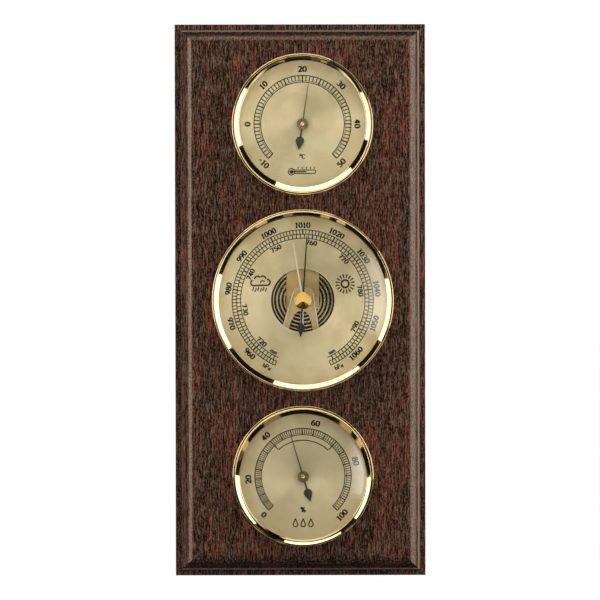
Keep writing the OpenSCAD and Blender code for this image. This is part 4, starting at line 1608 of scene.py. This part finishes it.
@dataclass
class Barometer:
    """The printed dial of the barometer."""

    OUTER, MIDDLE, INNER = 38.5, 36.1, 33.9
    PASCAL_FIGURES, MERCURY_FIGURES = 41.0, 31.8
    TOP_PRESSURE, TURN_PER_HECTOPASCAL = 1010, 2.7
    SKY_SIGN = (23.1, 9.0)

    bench: Bench
    alphabet: Alphabet
    axis: Axis

    def build(self) -> None:
        """Prints both scales, their figures, the sun and the rain cloud."""
        sign = Sign(self.bench, self.alphabet, self.axis, "barometer_dial")
        end = self.turn(1068)
        for radius in (self.OUTER, self.MIDDLE, self.INNER):
            sign.ring(radius, 0.46, -end, end)
        sign.ticks(self.MIDDLE, self.OUTER, 0.5, [self.turn(p) for p in range(952, 1069)])
        sign.ticks(self.MIDDLE, self.OUTER, 0.74, [self.turn(p) for p in range(960, 1069, 10)])
        sign.ticks(self.INNER, self.MIDDLE, 0.5, [self.mercury(p) for p in range(715, 801)])
        sign.ticks(self.INNER, self.MIDDLE, 0.72, [self.mercury(p) for p in range(720, 801, 10)])
        sign.finish("barometer_scale")
        for value in range(960, 1061, 10):
            inward = not 980 <= value <= 1040
            sign.figure(str(value), self.PASCAL_FIGURES, self.turn(value), 3.0, inward)
        for value in range(720, 791, 10):
            inward = not 740 <= value <= 780
            sign.figure(str(value), self.MERCURY_FIGURES, self.mercury(value), 2.7, inward)
        for side in (-1, 1):
            sign.figure("mm", 32.0, side * 150.5, 2.4, True)
            sign.figure("hPa", self.PASCAL_FIGURES, side * 151.5, 2.6, True)
        sign.finish("barometer_figures")
        x, z = self.SKY_SIGN
        self._sun(sign, x, z)
        self._cloud(sign, -x, z)
        sign.finish("barometer_sky_signs")

    @staticmethod
    def turn(pressure: float) -> float:
        """Gives the angle of a pressure in hectopascals."""
        return (pressure - Barometer.TOP_PRESSURE) * Barometer.TURN_PER_HECTOPASCAL

    @staticmethod
    def mercury(pressure: float) -> float:
        """Gives the angle of a pressure in millimetres of mercury."""
        return Barometer.turn(pressure * HECTOPASCALS_PER_MM)

    @staticmethod
    def _sun(sign: Sign, x: float, z: float) -> None:
        """Prints the sun round a point: a ring and sixteen rays that widen outwards.

        Args:
            sign: The dial's printing.
            x: Distance right of the dial's middle.
            z: Distance above it.
        """
        sign.loop(x, z, 2.05, 1.0)
        for i in range(16):
            middle = math.radians(22.5 * i + 11)
            ray = [(3.0, -0.08), (5.3, -0.085), (5.3, 0.085), (3.0, 0.08)]
            sign.patch([(x + r * math.sin(middle + a), z + r * math.cos(middle + a)) for r, a in ray])

    @staticmethod
    def _cloud(sign: Sign, x: float, z: float) -> None:
        """Prints the cloud round a point, with a curl inside and slanting rain below.

        Args:
            sign: The dial's printing.
            x: Distance right of the dial's middle.
            z: Distance above it.
        """
        bumps = (
            (-3.7, 0.6, 1.55, 285, 110),
            (-1.5, 2.5, 1.75, 175, 40),
            (1.4, 2.7, 1.6, 140, 5),
            (3.7, 0.9, 1.6, 95, -95),
        )
        for dx, dz, radius, start, end in bumps:
            sign.stroke(oval(x + dx, z + dz, radius, radius, start, end), 0.8)
        sign.stroke([(x - 3.3, z - 0.9), (x + 3.6, z - 0.7)], 0.8)
        sign.stroke(oval(x + 1.2, z + 0.8, 1.1, 0.95, 200, 20), 0.6)
        rain = ((-3.6, 0.0), (-2.2, 0.5), (-0.8, 0.0), (0.6, 0.5), (2.0, 0.0), (3.4, 0.4))
        for dx, drop in rain:
            top = z - 1.7 - drop
            sign.stroke([(x + dx, top), (x + dx - 0.75, top - 2.1)], 0.62)


# Works, hands and back


@dataclass
class Movement:
    """The rounded pieces of the works, the knob on the glass and the caps of the small pointers."""

    bench: Bench
    axes: dict[str, Axis]
    capsule_radius: float = 19.0
    flat_middle: float = 4.9
    first_ridge: float = 6.0
    ridges: int = 6
    ridge: float = 0.62
    pitch: float = 2.05

    def build(self) -> None:
        """Models the pieces and dresses them."""
        middle, turned = self.axes["barometer"], self.bench.turned
        capsule = turned("ridged_capsule", self._capsule(), middle, 144, closed=False, smooth=50)
        self.bench.dress(capsule, "capsule_dark", "aneroid_capsule")
        knob = turned("bright_knob", self._knob(), middle, 96, closed=False, smooth=14)
        self.bench.dress(knob, "knob_brass", "set_knob")
        self._folds(middle)
        for name in SMALL_DIALS:
            cap = turned(f"{name}_round_cap", self._cap(), self.axes[name], 40, closed=False, smooth=60)
            self.bench.dress(cap, "cap_brass", f"{name}_cap")

    def _folds(self, axis: Axis) -> None:
        """Models the raised edges of the bracket's two folded legs, with a painted highlight in a paler copy
        of the bracket's metal.

        Args:
            axis: The barometer's axis.
        """
        spread, lean, half, top, wide = math.radians(12.25), math.radians(4.2), 6.7, -0.8, 0.62
        low, high, thick = -22.9, 4.6, 0.35
        for side in (-1, 1):
            corners = []
            for across, along in ((-wide, low), (0.0, low), (0.0, high), (-wide, high)):
                x = side * (half + across * math.cos(spread) - along * math.sin(spread))
                z = across * math.sin(spread) + along * math.cos(spread)
                turned = (x * math.cos(lean) + z * math.sin(lean), z * math.cos(lean) - x * math.sin(lean))
                corners.append(axis.flat(*turned, top))
            fold = self.bench.plate(f"bright_fold_{'left' if side < 0 else 'right'}", corners, thick)
            self.bench.dress(fold, "bright_fold", like="hand_bracket")

    def _capsule(self) -> Outline:
        """Lists the profile of the ridged capsule.

        Returns:
            The profile's points, from the middle of its face.
        """
        top, bottom, soft, stud, stud_foot = -9.0, -13.0, 0.5, 2.5, -13.9
        face: Outline = [(0.0, top), (self.flat_middle, top)]
        half = self.pitch / 2
        for i in range(self.ridges):
            middle = self.first_ridge + self.pitch * i
            for j in range(-5 if i else -6, 7):
                face.append((middle + half * j / 6, top + self.ridge * (1 - (j / 6) ** 4)))
        rim = bend((self.capsule_radius - soft, top - soft), soft, 90, 0, 4)
        foot = bend((self.capsule_radius - soft, bottom + soft), soft, 0, -90, 4)
        return face + rim + foot + [(stud, bottom), (stud, stud_foot), (0.0, stud_foot)]

    @staticmethod
    def _knob() -> Outline:
        """Lists the profile of the knob: a skirt, a shallow cone with a small tip and a bore in its back.

        Returns:
            The profile's points, from the bore.
        """
        low, skirt, tall, wide, tip = 7.65, 1.4, 3.0, 4.7, 0.5
        deep, open_to, soft = low + 1.3, 1.62, 0.2
        bore = [(0.0, deep), (open_to, deep), (open_to, low), (wide - soft, low)]
        foot = bend((wide - soft, low + soft), soft, -90, 0, 8)
        brow = bend((wide - soft, low + skirt - 0.14), soft, 0, 68, 8)
        return bore + foot + brow + [(tip, low + tall), (0.0, low + tall)]

    @staticmethod
    def _cap() -> Outline:
        """Lists the profile of a pointer's cap, with a dimple in its front.

        Returns:
            The profile's points, from its back.
        """
        low, high, wide, soft = 2.7, 3.3, 1.1, 0.22
        crown = bend((wide - soft, high - soft), soft, 0, 90, 5)
        return [(0.0, low), (wide, low)] + crown + [(0.42, high), (0.34, high - 0.12), (0.0, high - 0.2)]


def of_small(*kinds: str) -> tuple[str, ...]:
    """Names the pieces of the given kinds that both small instruments have."""
    return tuple(f"{dial}_{kind}" for kind in kinds for dial in SMALL_DIALS)


def of_each(*kinds: str) -> tuple[str, ...]:
    """Names the pieces of the given kinds that all three instruments have."""
    return tuple(name for kind in kinds for name in (*of_small(kind), f"barometer_{kind}"))


class CadPieces:
    """The finishes of the CAD nodes, and rounded copies of the plain ones that show.

    FINISH lists the nodes of each finish and ROUNDED those of each width of rounded edge. SLIM has for each
    hand its instrument, the radius of its hub, half the width of its arm and the arm's new width as a share.
    """

    FINISH: dict[str, tuple[str, ...]] = {
        "dark_wood": ("board",),
        "plated_steel": (
            *of_each("case", "clips"),
            *of_small("coil_bracket"),
            "hanger_plate",
            "movement_screws",
            "set_hand_washer",
        ),
        "turned_brass": (
            *of_small("bush", "adjuster", "cap"),
            "hanger_screws",
            "movement_plate",
            "capsule_stud",
            "pivot_strap",
            "rocker_stand",
            "set_hand_bush",
        ),
        "dull_brass": of_each("spacer"),
        "bezel_brass": of_each("bezel"),
        "knob_brass": ("set_knob",),
        "thermometer_gold": ("thermometer_dial",),
        "barometer_gold": ("barometer_dial",),
        "hygrometer_gold": ("hygrometer_dial",),
        "clear_glass": of_each("glass"),
        "bimetal": ("bimetal_coil",),
        "humidity_strip": ("humidity_coil",),
        "dark_olive": of_small("pointer"),
        "blued_steel": ("barometer_hand",),
        "pale_brass": ("set_hand",),
        "spring_bronze": ("leaf_spring", "hairspring"),
        "bracket_nickel": ("hand_bracket",),
        "capsule_dark": ("aneroid_capsule",),
        "arbor_steel": (
            *of_small("arbor"),
            "hand_arbor",
            "main_lever",
            "lever_link",
            "rocker",
            "drive_chain",
            "leaf_spring_screws",
            "bracket_screws",
            "pressure_screw",
        ),
    }
    ROUNDED: dict[float, tuple[str, ...]] = {
        0.3: ("hand_bracket", *of_each("case")),
        0.2: ("hanger_plate", *of_small("adjuster"), "movement_plate"),
        0.15: (
            "leaf_spring",
            "pivot_strap",
            "hanger_screws",
            "movement_screws",
            "leaf_spring_screws",
            "bracket_screws",
            "pressure_screw",
            "capsule_stud",
            "rocker_stand",
            *of_each("clips"),
        ),
        0.1: (
            *of_small("pointer"),
            "barometer_hand",
            "set_hand",
            "main_lever",
            "lever_link",
            "rocker",
        ),
    }
    SLIM: dict[str, tuple[str, float, float, float]] = {
        "thermometer_pointer": ("thermometer", 3.0, 0.65, 0.5),
        "hygrometer_pointer": ("hygrometer", 3.0, 0.65, 0.62),
        "barometer_hand": ("barometer", 2.6, 0.85, 0.62),
        "set_hand": ("barometer", 2.6, 0.7, 0.82),
    }
    HUB_RADIUS = 3.05

    def __init__(self, bench: Bench, axes: dict[str, Axis]) -> None:
        """Keeps the modelling steps and the instruments' axes.

        Args:
            bench: The modelling steps.
            axes: The axis of each instrument.
        """
        self.bench = bench
        self.axes = axes
        self.finish_of = {node: key for key, nodes in self.FINISH.items() for node in nodes}

    def dress(self) -> None:
        """Gives every CAD node its finish."""
        for name, obj in frame["nodes"].items():
            material = self.bench.finishes.get(self.finish_of[name])
            for slot in obj.material_slots:
                slot.material = material

    def round_off(self) -> None:
        """Makes the rounded copies and dresses them."""
        for width, nodes in self.ROUNDED.items():
            for node in nodes:
                copy = self.bench.copied(frame["nodes"][node], f"rounded_{node}")
                if node in self.SLIM:
                    self._slim(copy, *self.SLIM[node])
                self.bench.soften(copy, width)
                self.bench.dress(copy, self.finish_of[node], node)
                if node in of_small("pointer"):
                    self._brighten_hub(copy, self.axes[node.removesuffix("_pointer")])

    def _brighten_hub(self, pointer: Object, axis: Axis) -> None:
        """Gives the hub of a small pointer its brownish brass.

        Args:
            pointer: The pointer.
            axis: Its instrument's axis.
        """
        pointer.data.materials.append(self.bench.finishes.get("hub_brass"))
        for face in pointer.data.polygons:
            arm = face.center - axis.pivot
            if math.hypot(arm.x, arm.z) < self.HUB_RADIUS * MM:
                face.material_index = 1

    def _slim(self, hand: Object, dial: str, hub: float, root: float, share: float) -> None:
        """Narrows the arm of a hand; the hub and the tail's figure keep their size.

        Args:
            hand: The hand.
            dial: Name of its instrument.
            hub: Radius of its hub.
            root: Half the width of its arm.
            share: The arm's new width, as a share of the old one.
        """
        pivot = self.axes[dial].pivot
        far = max((v.co - pivot for v in hand.data.vertices), key=lambda arm: math.hypot(arm.x, arm.z))
        turn = Matrix.Rotation(-math.atan2(far.x, far.z), 4, "Y")
        upright = Matrix.Translation(pivot) @ turn @ Matrix.Translation(-pivot)
        hand.matrix_world = upright
        self.bench.settle(hand)
        self.bench.edit()
        bpy.ops.mesh.select_all(action="SELECT")
        bpy.ops.mesh.remove_doubles(threshold=1e-6)
        bpy.ops.mesh.select_all(action="DESELECT")
        bpy.ops.object.mode_set(mode="OBJECT")
        for vertex in hand.data.vertices:
            arm = (vertex.co - pivot) / MM
            tail = -arm.z > hub and dial == "barometer"
            vertex.select = abs(arm.x) < root + 0.05 and (arm.z > hub * 0.85 or tail)
        self.bench.edit()
        bpy.ops.transform.resize(value=(share, 1.0, 1.0), center_override=pivot)
        hand.matrix_world = upright.inverted()
        self.bench.settle(hand)


# Stage


@dataclass(frozen=True)
class Card:
    """A glowing card beside the object, which only polished things reflect."""

    name: str
    corners: tuple[tuple[float, float, float], ...]
    colour: tuple[float, float, float]
    strength: float
    polished: bool = False


class Stage:
    """The floor, the lamps, the surroundings and the camera."""

    WINDOWS = (("middle_window", 40, 70, -26, 33, 5.6), ("lower_window", 38, 62, -122, -63, 6.8))
    WINDOW_GLOW = (1.0, 0.95, 0.88)
    GLINTS = (
        (247.6, 190, 270, ((-27, 5, 0.12), (-20, 3, 0.4), (20, 3, 0.4), (12, 4, 0.1), (62, 3, 0.14))),
        (
            151.4,
            52,
            150,
            ((-28, 4, 0.5), (-38, 6, 0.1), (-10, 3, 0.2), (14, 3, 0.4), (25, 3, 0.6), (70, 4, 0.2)),
        ),
        (54.0, 12, 52, ((-41, 4, 0.55), (-15, 4, 0.15), (17, 4, 0.35), (38, 4, 0.35), (73, 3, 0.2))),
    )
    GLINT_GLOW = (1.0, 0.85, 0.58)
    CARD_AT = -150
    LAMPS = (
        ("right_lamp", (0.45, -0.22, 0.04), (-1, 0, 0), (0.4, 0.485), 2.1),
        ("left_lamp", (-0.52, -0.285, 0.058), (1, 0, 0), (0.37, 0.405), 1.9),
        ("top_lamp", (-0.172, -0.34, 0.7), (0, 0, -1), (0.855, 0.58), 1.9),
    )
    FLOOR_SIZE = 6.0
    FLOOR_SPOT = (0.0, 1.0, -0.1512)
    FLOOR_GREY = 0.55
    FLOOR_WHITE = 0.995
    DOME_RADIUS = 2.8
    DOME_FOOT = -0.1505
    DOME_BACK = 1.9
    WARM = (1.0, 0.93, 0.82, 1.0)
    SURROUND_GLOW = 0.3
    BAND = (34, 38, 45, 49)
    BAND_ENDS = (122, 134)
    PANEL = (((0.93, 0.0, -0.37), 0.44, 0.54), ((0.37, 0.0, 0.93), 0.16, 0.28))
    BAND_GLOW = 0.88
    PANEL_GLOW = 1.2
    CLOTH_GLOW = 0.008

    @staticmethod
    def camera() -> None:
        """Sets the camera at the picture's viewing angle."""
        distance, rise, roll = 1.55, math.radians(0.9), math.radians(-0.106)
        picture_width = 0.32781
        aim = Vector((-0.00012, -0.018, 0.00019))
        back = Vector((0.0, -math.cos(rise), math.sin(rise)))
        bpy.ops.object.camera_add(location=aim + back * distance)
        camera = bpy.context.object
        camera.name = "camera"
        turn = (-back).to_track_quat("-Z", "Y").to_matrix().to_4x4()
        camera.matrix_world = Matrix.Translation(aim + back * distance) @ turn @ Matrix.Rotation(roll, 4, "Z")
        camera.data.sensor_width = 36.0
        camera.data.lens = camera.data.sensor_width * distance / picture_width
        camera.data.clip_start, camera.data.clip_end = 0.05, 50.0
        bpy.context.scene.camera = camera

    @staticmethod
    def lamp(name: str, spot: Vector, facing: Vector, size: tuple[float, float], glow: float) -> None:
        """Sets a soft lamp.

        Args:
            name: Name of the lamp.
            spot: Its middle, in metres.
            facing: The direction that it shines in.
            size: Its width and height, in metres.
            glow: Its brightness, where 1 looks white.
        """
        bpy.ops.object.light_add(type="AREA", location=spot)
        lamp = bpy.context.object
        lamp.name = name
        lamp.rotation_euler = facing.to_track_quat("-Z", "Y").to_euler()
        lamp.data.shape = "RECTANGLE"
        lamp.data.size, lamp.data.size_y = size
        lamp.data.energy = glow * math.pi * size[0] * size[1]
        lamp.visible_camera = False

    @staticmethod
    def only_reflected(obj: Object) -> None:
        """Hides a piece of the stage from all but reflections.

        Args:
            obj: The piece.
        """
        obj.visible_camera = obj.visible_diffuse = obj.visible_shadow = False
        obj.visible_transmission = obj.visible_volume_scatter = False

    @staticmethod
    def pale(colour: float, lifted: float) -> Material:
        """Makes the paper of the floor, which the camera sees paler than it lights.

        Args:
            colour: Its grey, from 0 to 1.
            lifted: Share of plain white that the camera, metal and glass see.

        Returns:
            The material.
        """
        nodes = Nodes.of_material("pale_floor")
        paper = nodes.add("ShaderNodeBsdfDiffuse", {"Color": (colour, colour, colour, 1.0)})
        white = nodes.add("ShaderNodeEmission", {"Color": WHITE, "Strength": 1.0})
        share = nodes.math("MULTIPLY", Stage.seen(nodes), lifted)
        mixed = nodes.add("ShaderNodeMixShader", {0: share, 1: paper.outputs[0], 2: white.outputs[0]})
        return nodes.finish(mixed)

    @staticmethod
    def seen(nodes: Nodes) -> Socket:
        """Gives 1 for what the camera sees straight, through glass or in a reflection.

        Args:
            nodes: The material's nodes.

        Returns:
            The value's socket.
        """
        path = nodes.add("ShaderNodeLightPath")
        straight = nodes.math("MAXIMUM", path.outputs["Is Camera Ray"], path.outputs["Is Transmission Ray"])
        return nodes.math("MAXIMUM", straight, path.outputs["Is Glossy Ray"])

    def floor(self) -> None:
        """Lays the pale floor under the board."""
        bpy.ops.mesh.primitive_plane_add(size=self.FLOOR_SIZE, location=self.FLOOR_SPOT)
        floor = bpy.context.object
        floor.name = "floor"
        floor.data.materials.append(self.pale(self.FLOOR_GREY, self.FLOOR_WHITE))

    def shell(self) -> None:
        """Sets a dark dome round the front with a warm band, which only metal and glass show."""
        Bench.deselect()
        bpy.ops.mesh.primitive_uv_sphere_add(segments=96, ring_count=48, radius=self.DOME_RADIUS)
        shell = bpy.context.object
        shell.name = "studio_dome"
        Bench.settle(shell)
        Bench.edit()
        foot = ((0.0, 0.0, self.DOME_FOOT), (0.0, 0.0, -1.0))
        back = ((0.0, self.DOME_BACK, 0.0), (0.0, 1.0, 0.0))
        for spot, facing in (foot, back):
            bpy.ops.mesh.select_all(action="SELECT")
            bpy.ops.mesh.bisect(plane_co=spot, plane_no=facing, clear_outer=True, use_fill=spot[2] < 0)
        bpy.ops.object.mode_set(mode="OBJECT")
        shell.data.materials.append(self._dome_glow())
        self.only_reflected(shell)

    @staticmethod
    def _dome_glow() -> Material:
        """Makes the dome's glow: dark cloth, a panel behind the camera and a warm band round it.

        BAND has the degrees off the front's axis at which the band starts, is full, starts to fade and ends.
        BAND_ENDS has those from the top between which it fades out towards the bottom. PANEL has, along and
        across the panel, the direction and where its fading edge starts and ends. Sharp reflections, as in
        glass, don't show the panel.

        Returns:
            The dome's material.
        """
        nodes = Nodes.of_material("studio_dome")
        unit = nodes.add("ShaderNodeVectorMath", {0: nodes.place()}, operation="NORMALIZE").outputs[0]
        parts = nodes.add("ShaderNodeSeparateXYZ", {0: unit})
        off = nodes.math("ARCCOSINE", nodes.math("MULTIPLY", parts.outputs[1], -1.0))
        around = nodes.math("ABSOLUTE", nodes.math("ARCTAN2", parts.outputs[0], parts.outputs[2]))
        outset, start, end, finish = (math.radians(a) for a in Stage.BAND)
        rising = nodes.span(off, outset, start)
        falling = nodes.span(off, end, finish, 1.0, 0.0)
        wedge = nodes.span(around, *(math.radians(a) for a in Stage.BAND_ENDS), 1.0, 0.05)
        band = nodes.math("MULTIPLY", nodes.math("MULTIPLY", rising, falling), wedge)
        sides = []
        for direction, solid, edge in Stage.PANEL:
            dot = nodes.add("ShaderNodeVectorMath", {0: unit, 1: direction}, operation="DOT_PRODUCT")
            sides.append(nodes.span(nodes.math("ABSOLUTE", dot.outputs["Value"]), solid, edge, 1.0, 0.0))
        path = nodes.add("ShaderNodeLightPath")
        sharp, bright = path.outputs["Is Singular Ray"], Stage.PANEL_GLOW
        matt = nodes.math("MULTIPLY_ADD", sharp, -bright, bright)
        panel = nodes.math("MULTIPLY", nodes.math("MULTIPLY", *sides), matt)
        lit = nodes.math("MULTIPLY", band, Stage.BAND_GLOW)
        strength = nodes.math("ADD", lit, nodes.math("MAXIMUM", panel, Stage.CLOTH_GLOW))
        glow = nodes.add("ShaderNodeEmission", {"Color": Stage.WARM, "Strength": strength})
        material = nodes.finish(glow)
        material.cycles.emission_sampling = "NONE"
        return material

    def windows(self) -> list[Card]:
        """Lists the bright cards that the glasses show.

        WINDOWS has for each its name, its left, right, low and high side and its glow.

        Returns:
            The cards.
        """
        cards = []
        for name, left, right, low, high, glow in self.WINDOWS:
            spans = ((left, low), (right, low), (right, high), (left, high))
            corners = tuple((x, self.CARD_AT, z) for x, z in spans)
            cards.append(Card(name, corners, self.WINDOW_GLOW, glow, True))
        return cards

    def glints(self) -> list[Card]:
        """Lists the small cards low before the object that show as glints in the tops of the bezels.

        GLINTS has for each instrument the drop from its axis to the cards, the cards' near and far distance
        and, for each card, the clockwise angle at which it shows, its half width in degrees and its glow.

        Returns:
            The cards.
        """
        cards = []
        for drop, near, far, spots in self.GLINTS:
            for turn, half, glow in spots:
                left, right = (-drop * math.tan(math.radians(turn + a)) for a in (half, -half))
                spans = ((left, -near), (right, -near), (right, -far), (left, -far))
                corners = tuple((x, y, self.CARD_AT) for x, y in spans)
                cards.append(Card(f"glint_{len(cards)}", corners, self.GLINT_GLOW, glow))
        return cards

    def cards(self) -> None:
        """Sets the cards that the glasses and the bright brass reflect."""
        for card in self.windows() + self.glints():
            outline = [Vector(corner) * MM for corner in card.corners]
            obj = Bench.drawn(card.name, outline, closed=True)
            bpy.ops.mesh.edge_face_add()
            bpy.ops.object.mode_set(mode="OBJECT")
            nodes = Nodes.of_material(card.name)
            strength: object = card.strength
            if card.polished:
                path = nodes.add("ShaderNodeLightPath")
                side = nodes.add("ShaderNodeSeparateXYZ", {0: nodes.place()}).outputs[0]
                near, far = card.corners[0][0] * MM, card.corners[1][0] * MM
                fade = nodes.span(side, near, far, 0.0, card.strength)
                strength = nodes.math("MULTIPLY", path.outputs["Is Singular Ray"], fade)
            glow = nodes.add("ShaderNodeEmission", {"Color": (*card.colour, 1.0), "Strength": strength})
            material = nodes.finish(glow)
            material.cycles.emission_sampling = "NONE"
            obj.data.materials.append(material)
            self.only_reflected(obj)

    @staticmethod
    def surroundings() -> None:
        """Makes the background white and gives the object a little light from all round."""
        world = bpy.data.worlds.new("surroundings")
        bpy.context.scene.world = world
        world.use_nodes = True
        world.node_tree.nodes.clear()
        nodes = Nodes(world.node_tree)
        dim, white = (
            nodes.add("ShaderNodeBackground", {"Color": WHITE, "Strength": strength}).outputs[0]
            for strength in (Stage.SURROUND_GLOW, 1.0)
        )
        mixed = nodes.add("ShaderNodeMixShader", {0: Stage.seen(nodes), 1: dim, 2: white})
        out = nodes.add("ShaderNodeOutputWorld")
        nodes.tree.links.new(mixed.outputs[0], out.inputs[0])

    def build(self) -> None:
        """Sets the whole stage."""
        self.floor()
        self.shell()
        self.cards()
        self.surroundings()
        for name, spot, facing, size, glow in self.LAMPS:
            self.lamp(name, Vector(spot), Vector(facing), size, glow)


def main() -> None:
    """Builds the stage and the object."""
    logging.basicConfig(level=logging.INFO, format="%(name)s: %(message)s")
    stage = Stage()
    stage.camera()
    axes = {name: Axis.of_joint(f"{name}_read") for name in ("thermometer", "barometer", "hygrometer")}
    top, middle, bottom = axes.values()
    bench = Bench(Finishes(axes))
    pieces = CadPieces(bench, axes)
    pieces.dress()
    pieces.round_off()
    WoodBoard(bench, [(top, SMALL_BORE), (middle, BIG_BORE), (bottom, SMALL_BORE)]).build()
    for name in SMALL_DIALS:
        Housing(bench, name, axes[name], radius=38.8, height=6.8, spacer=2.0, dial_hole=1.57).build()
    Housing(
        bench,
        "barometer",
        middle,
        radius=50.1,
        height=8.2,
        spacer=3.2,
        dial_hole=17.3,
        hole=1.68,
        steps=208,
        wall_in=1.85,
        bead_in=0.7,
        slope_run=2.15,
    ).build()
    alphabet = Alphabet()
    Thermometer(bench, alphabet, top).build()
    Barometer(bench, alphabet, middle).build()
    Hygrometer(bench, alphabet, bottom).build()
    alphabet.clear()
    Movement(bench, axes).build()
    stage.build()
    Bench.deselect()
    bpy.context.scene.view_settings.view_transform = "Standard"


if __name__ == "__main__":
    main()
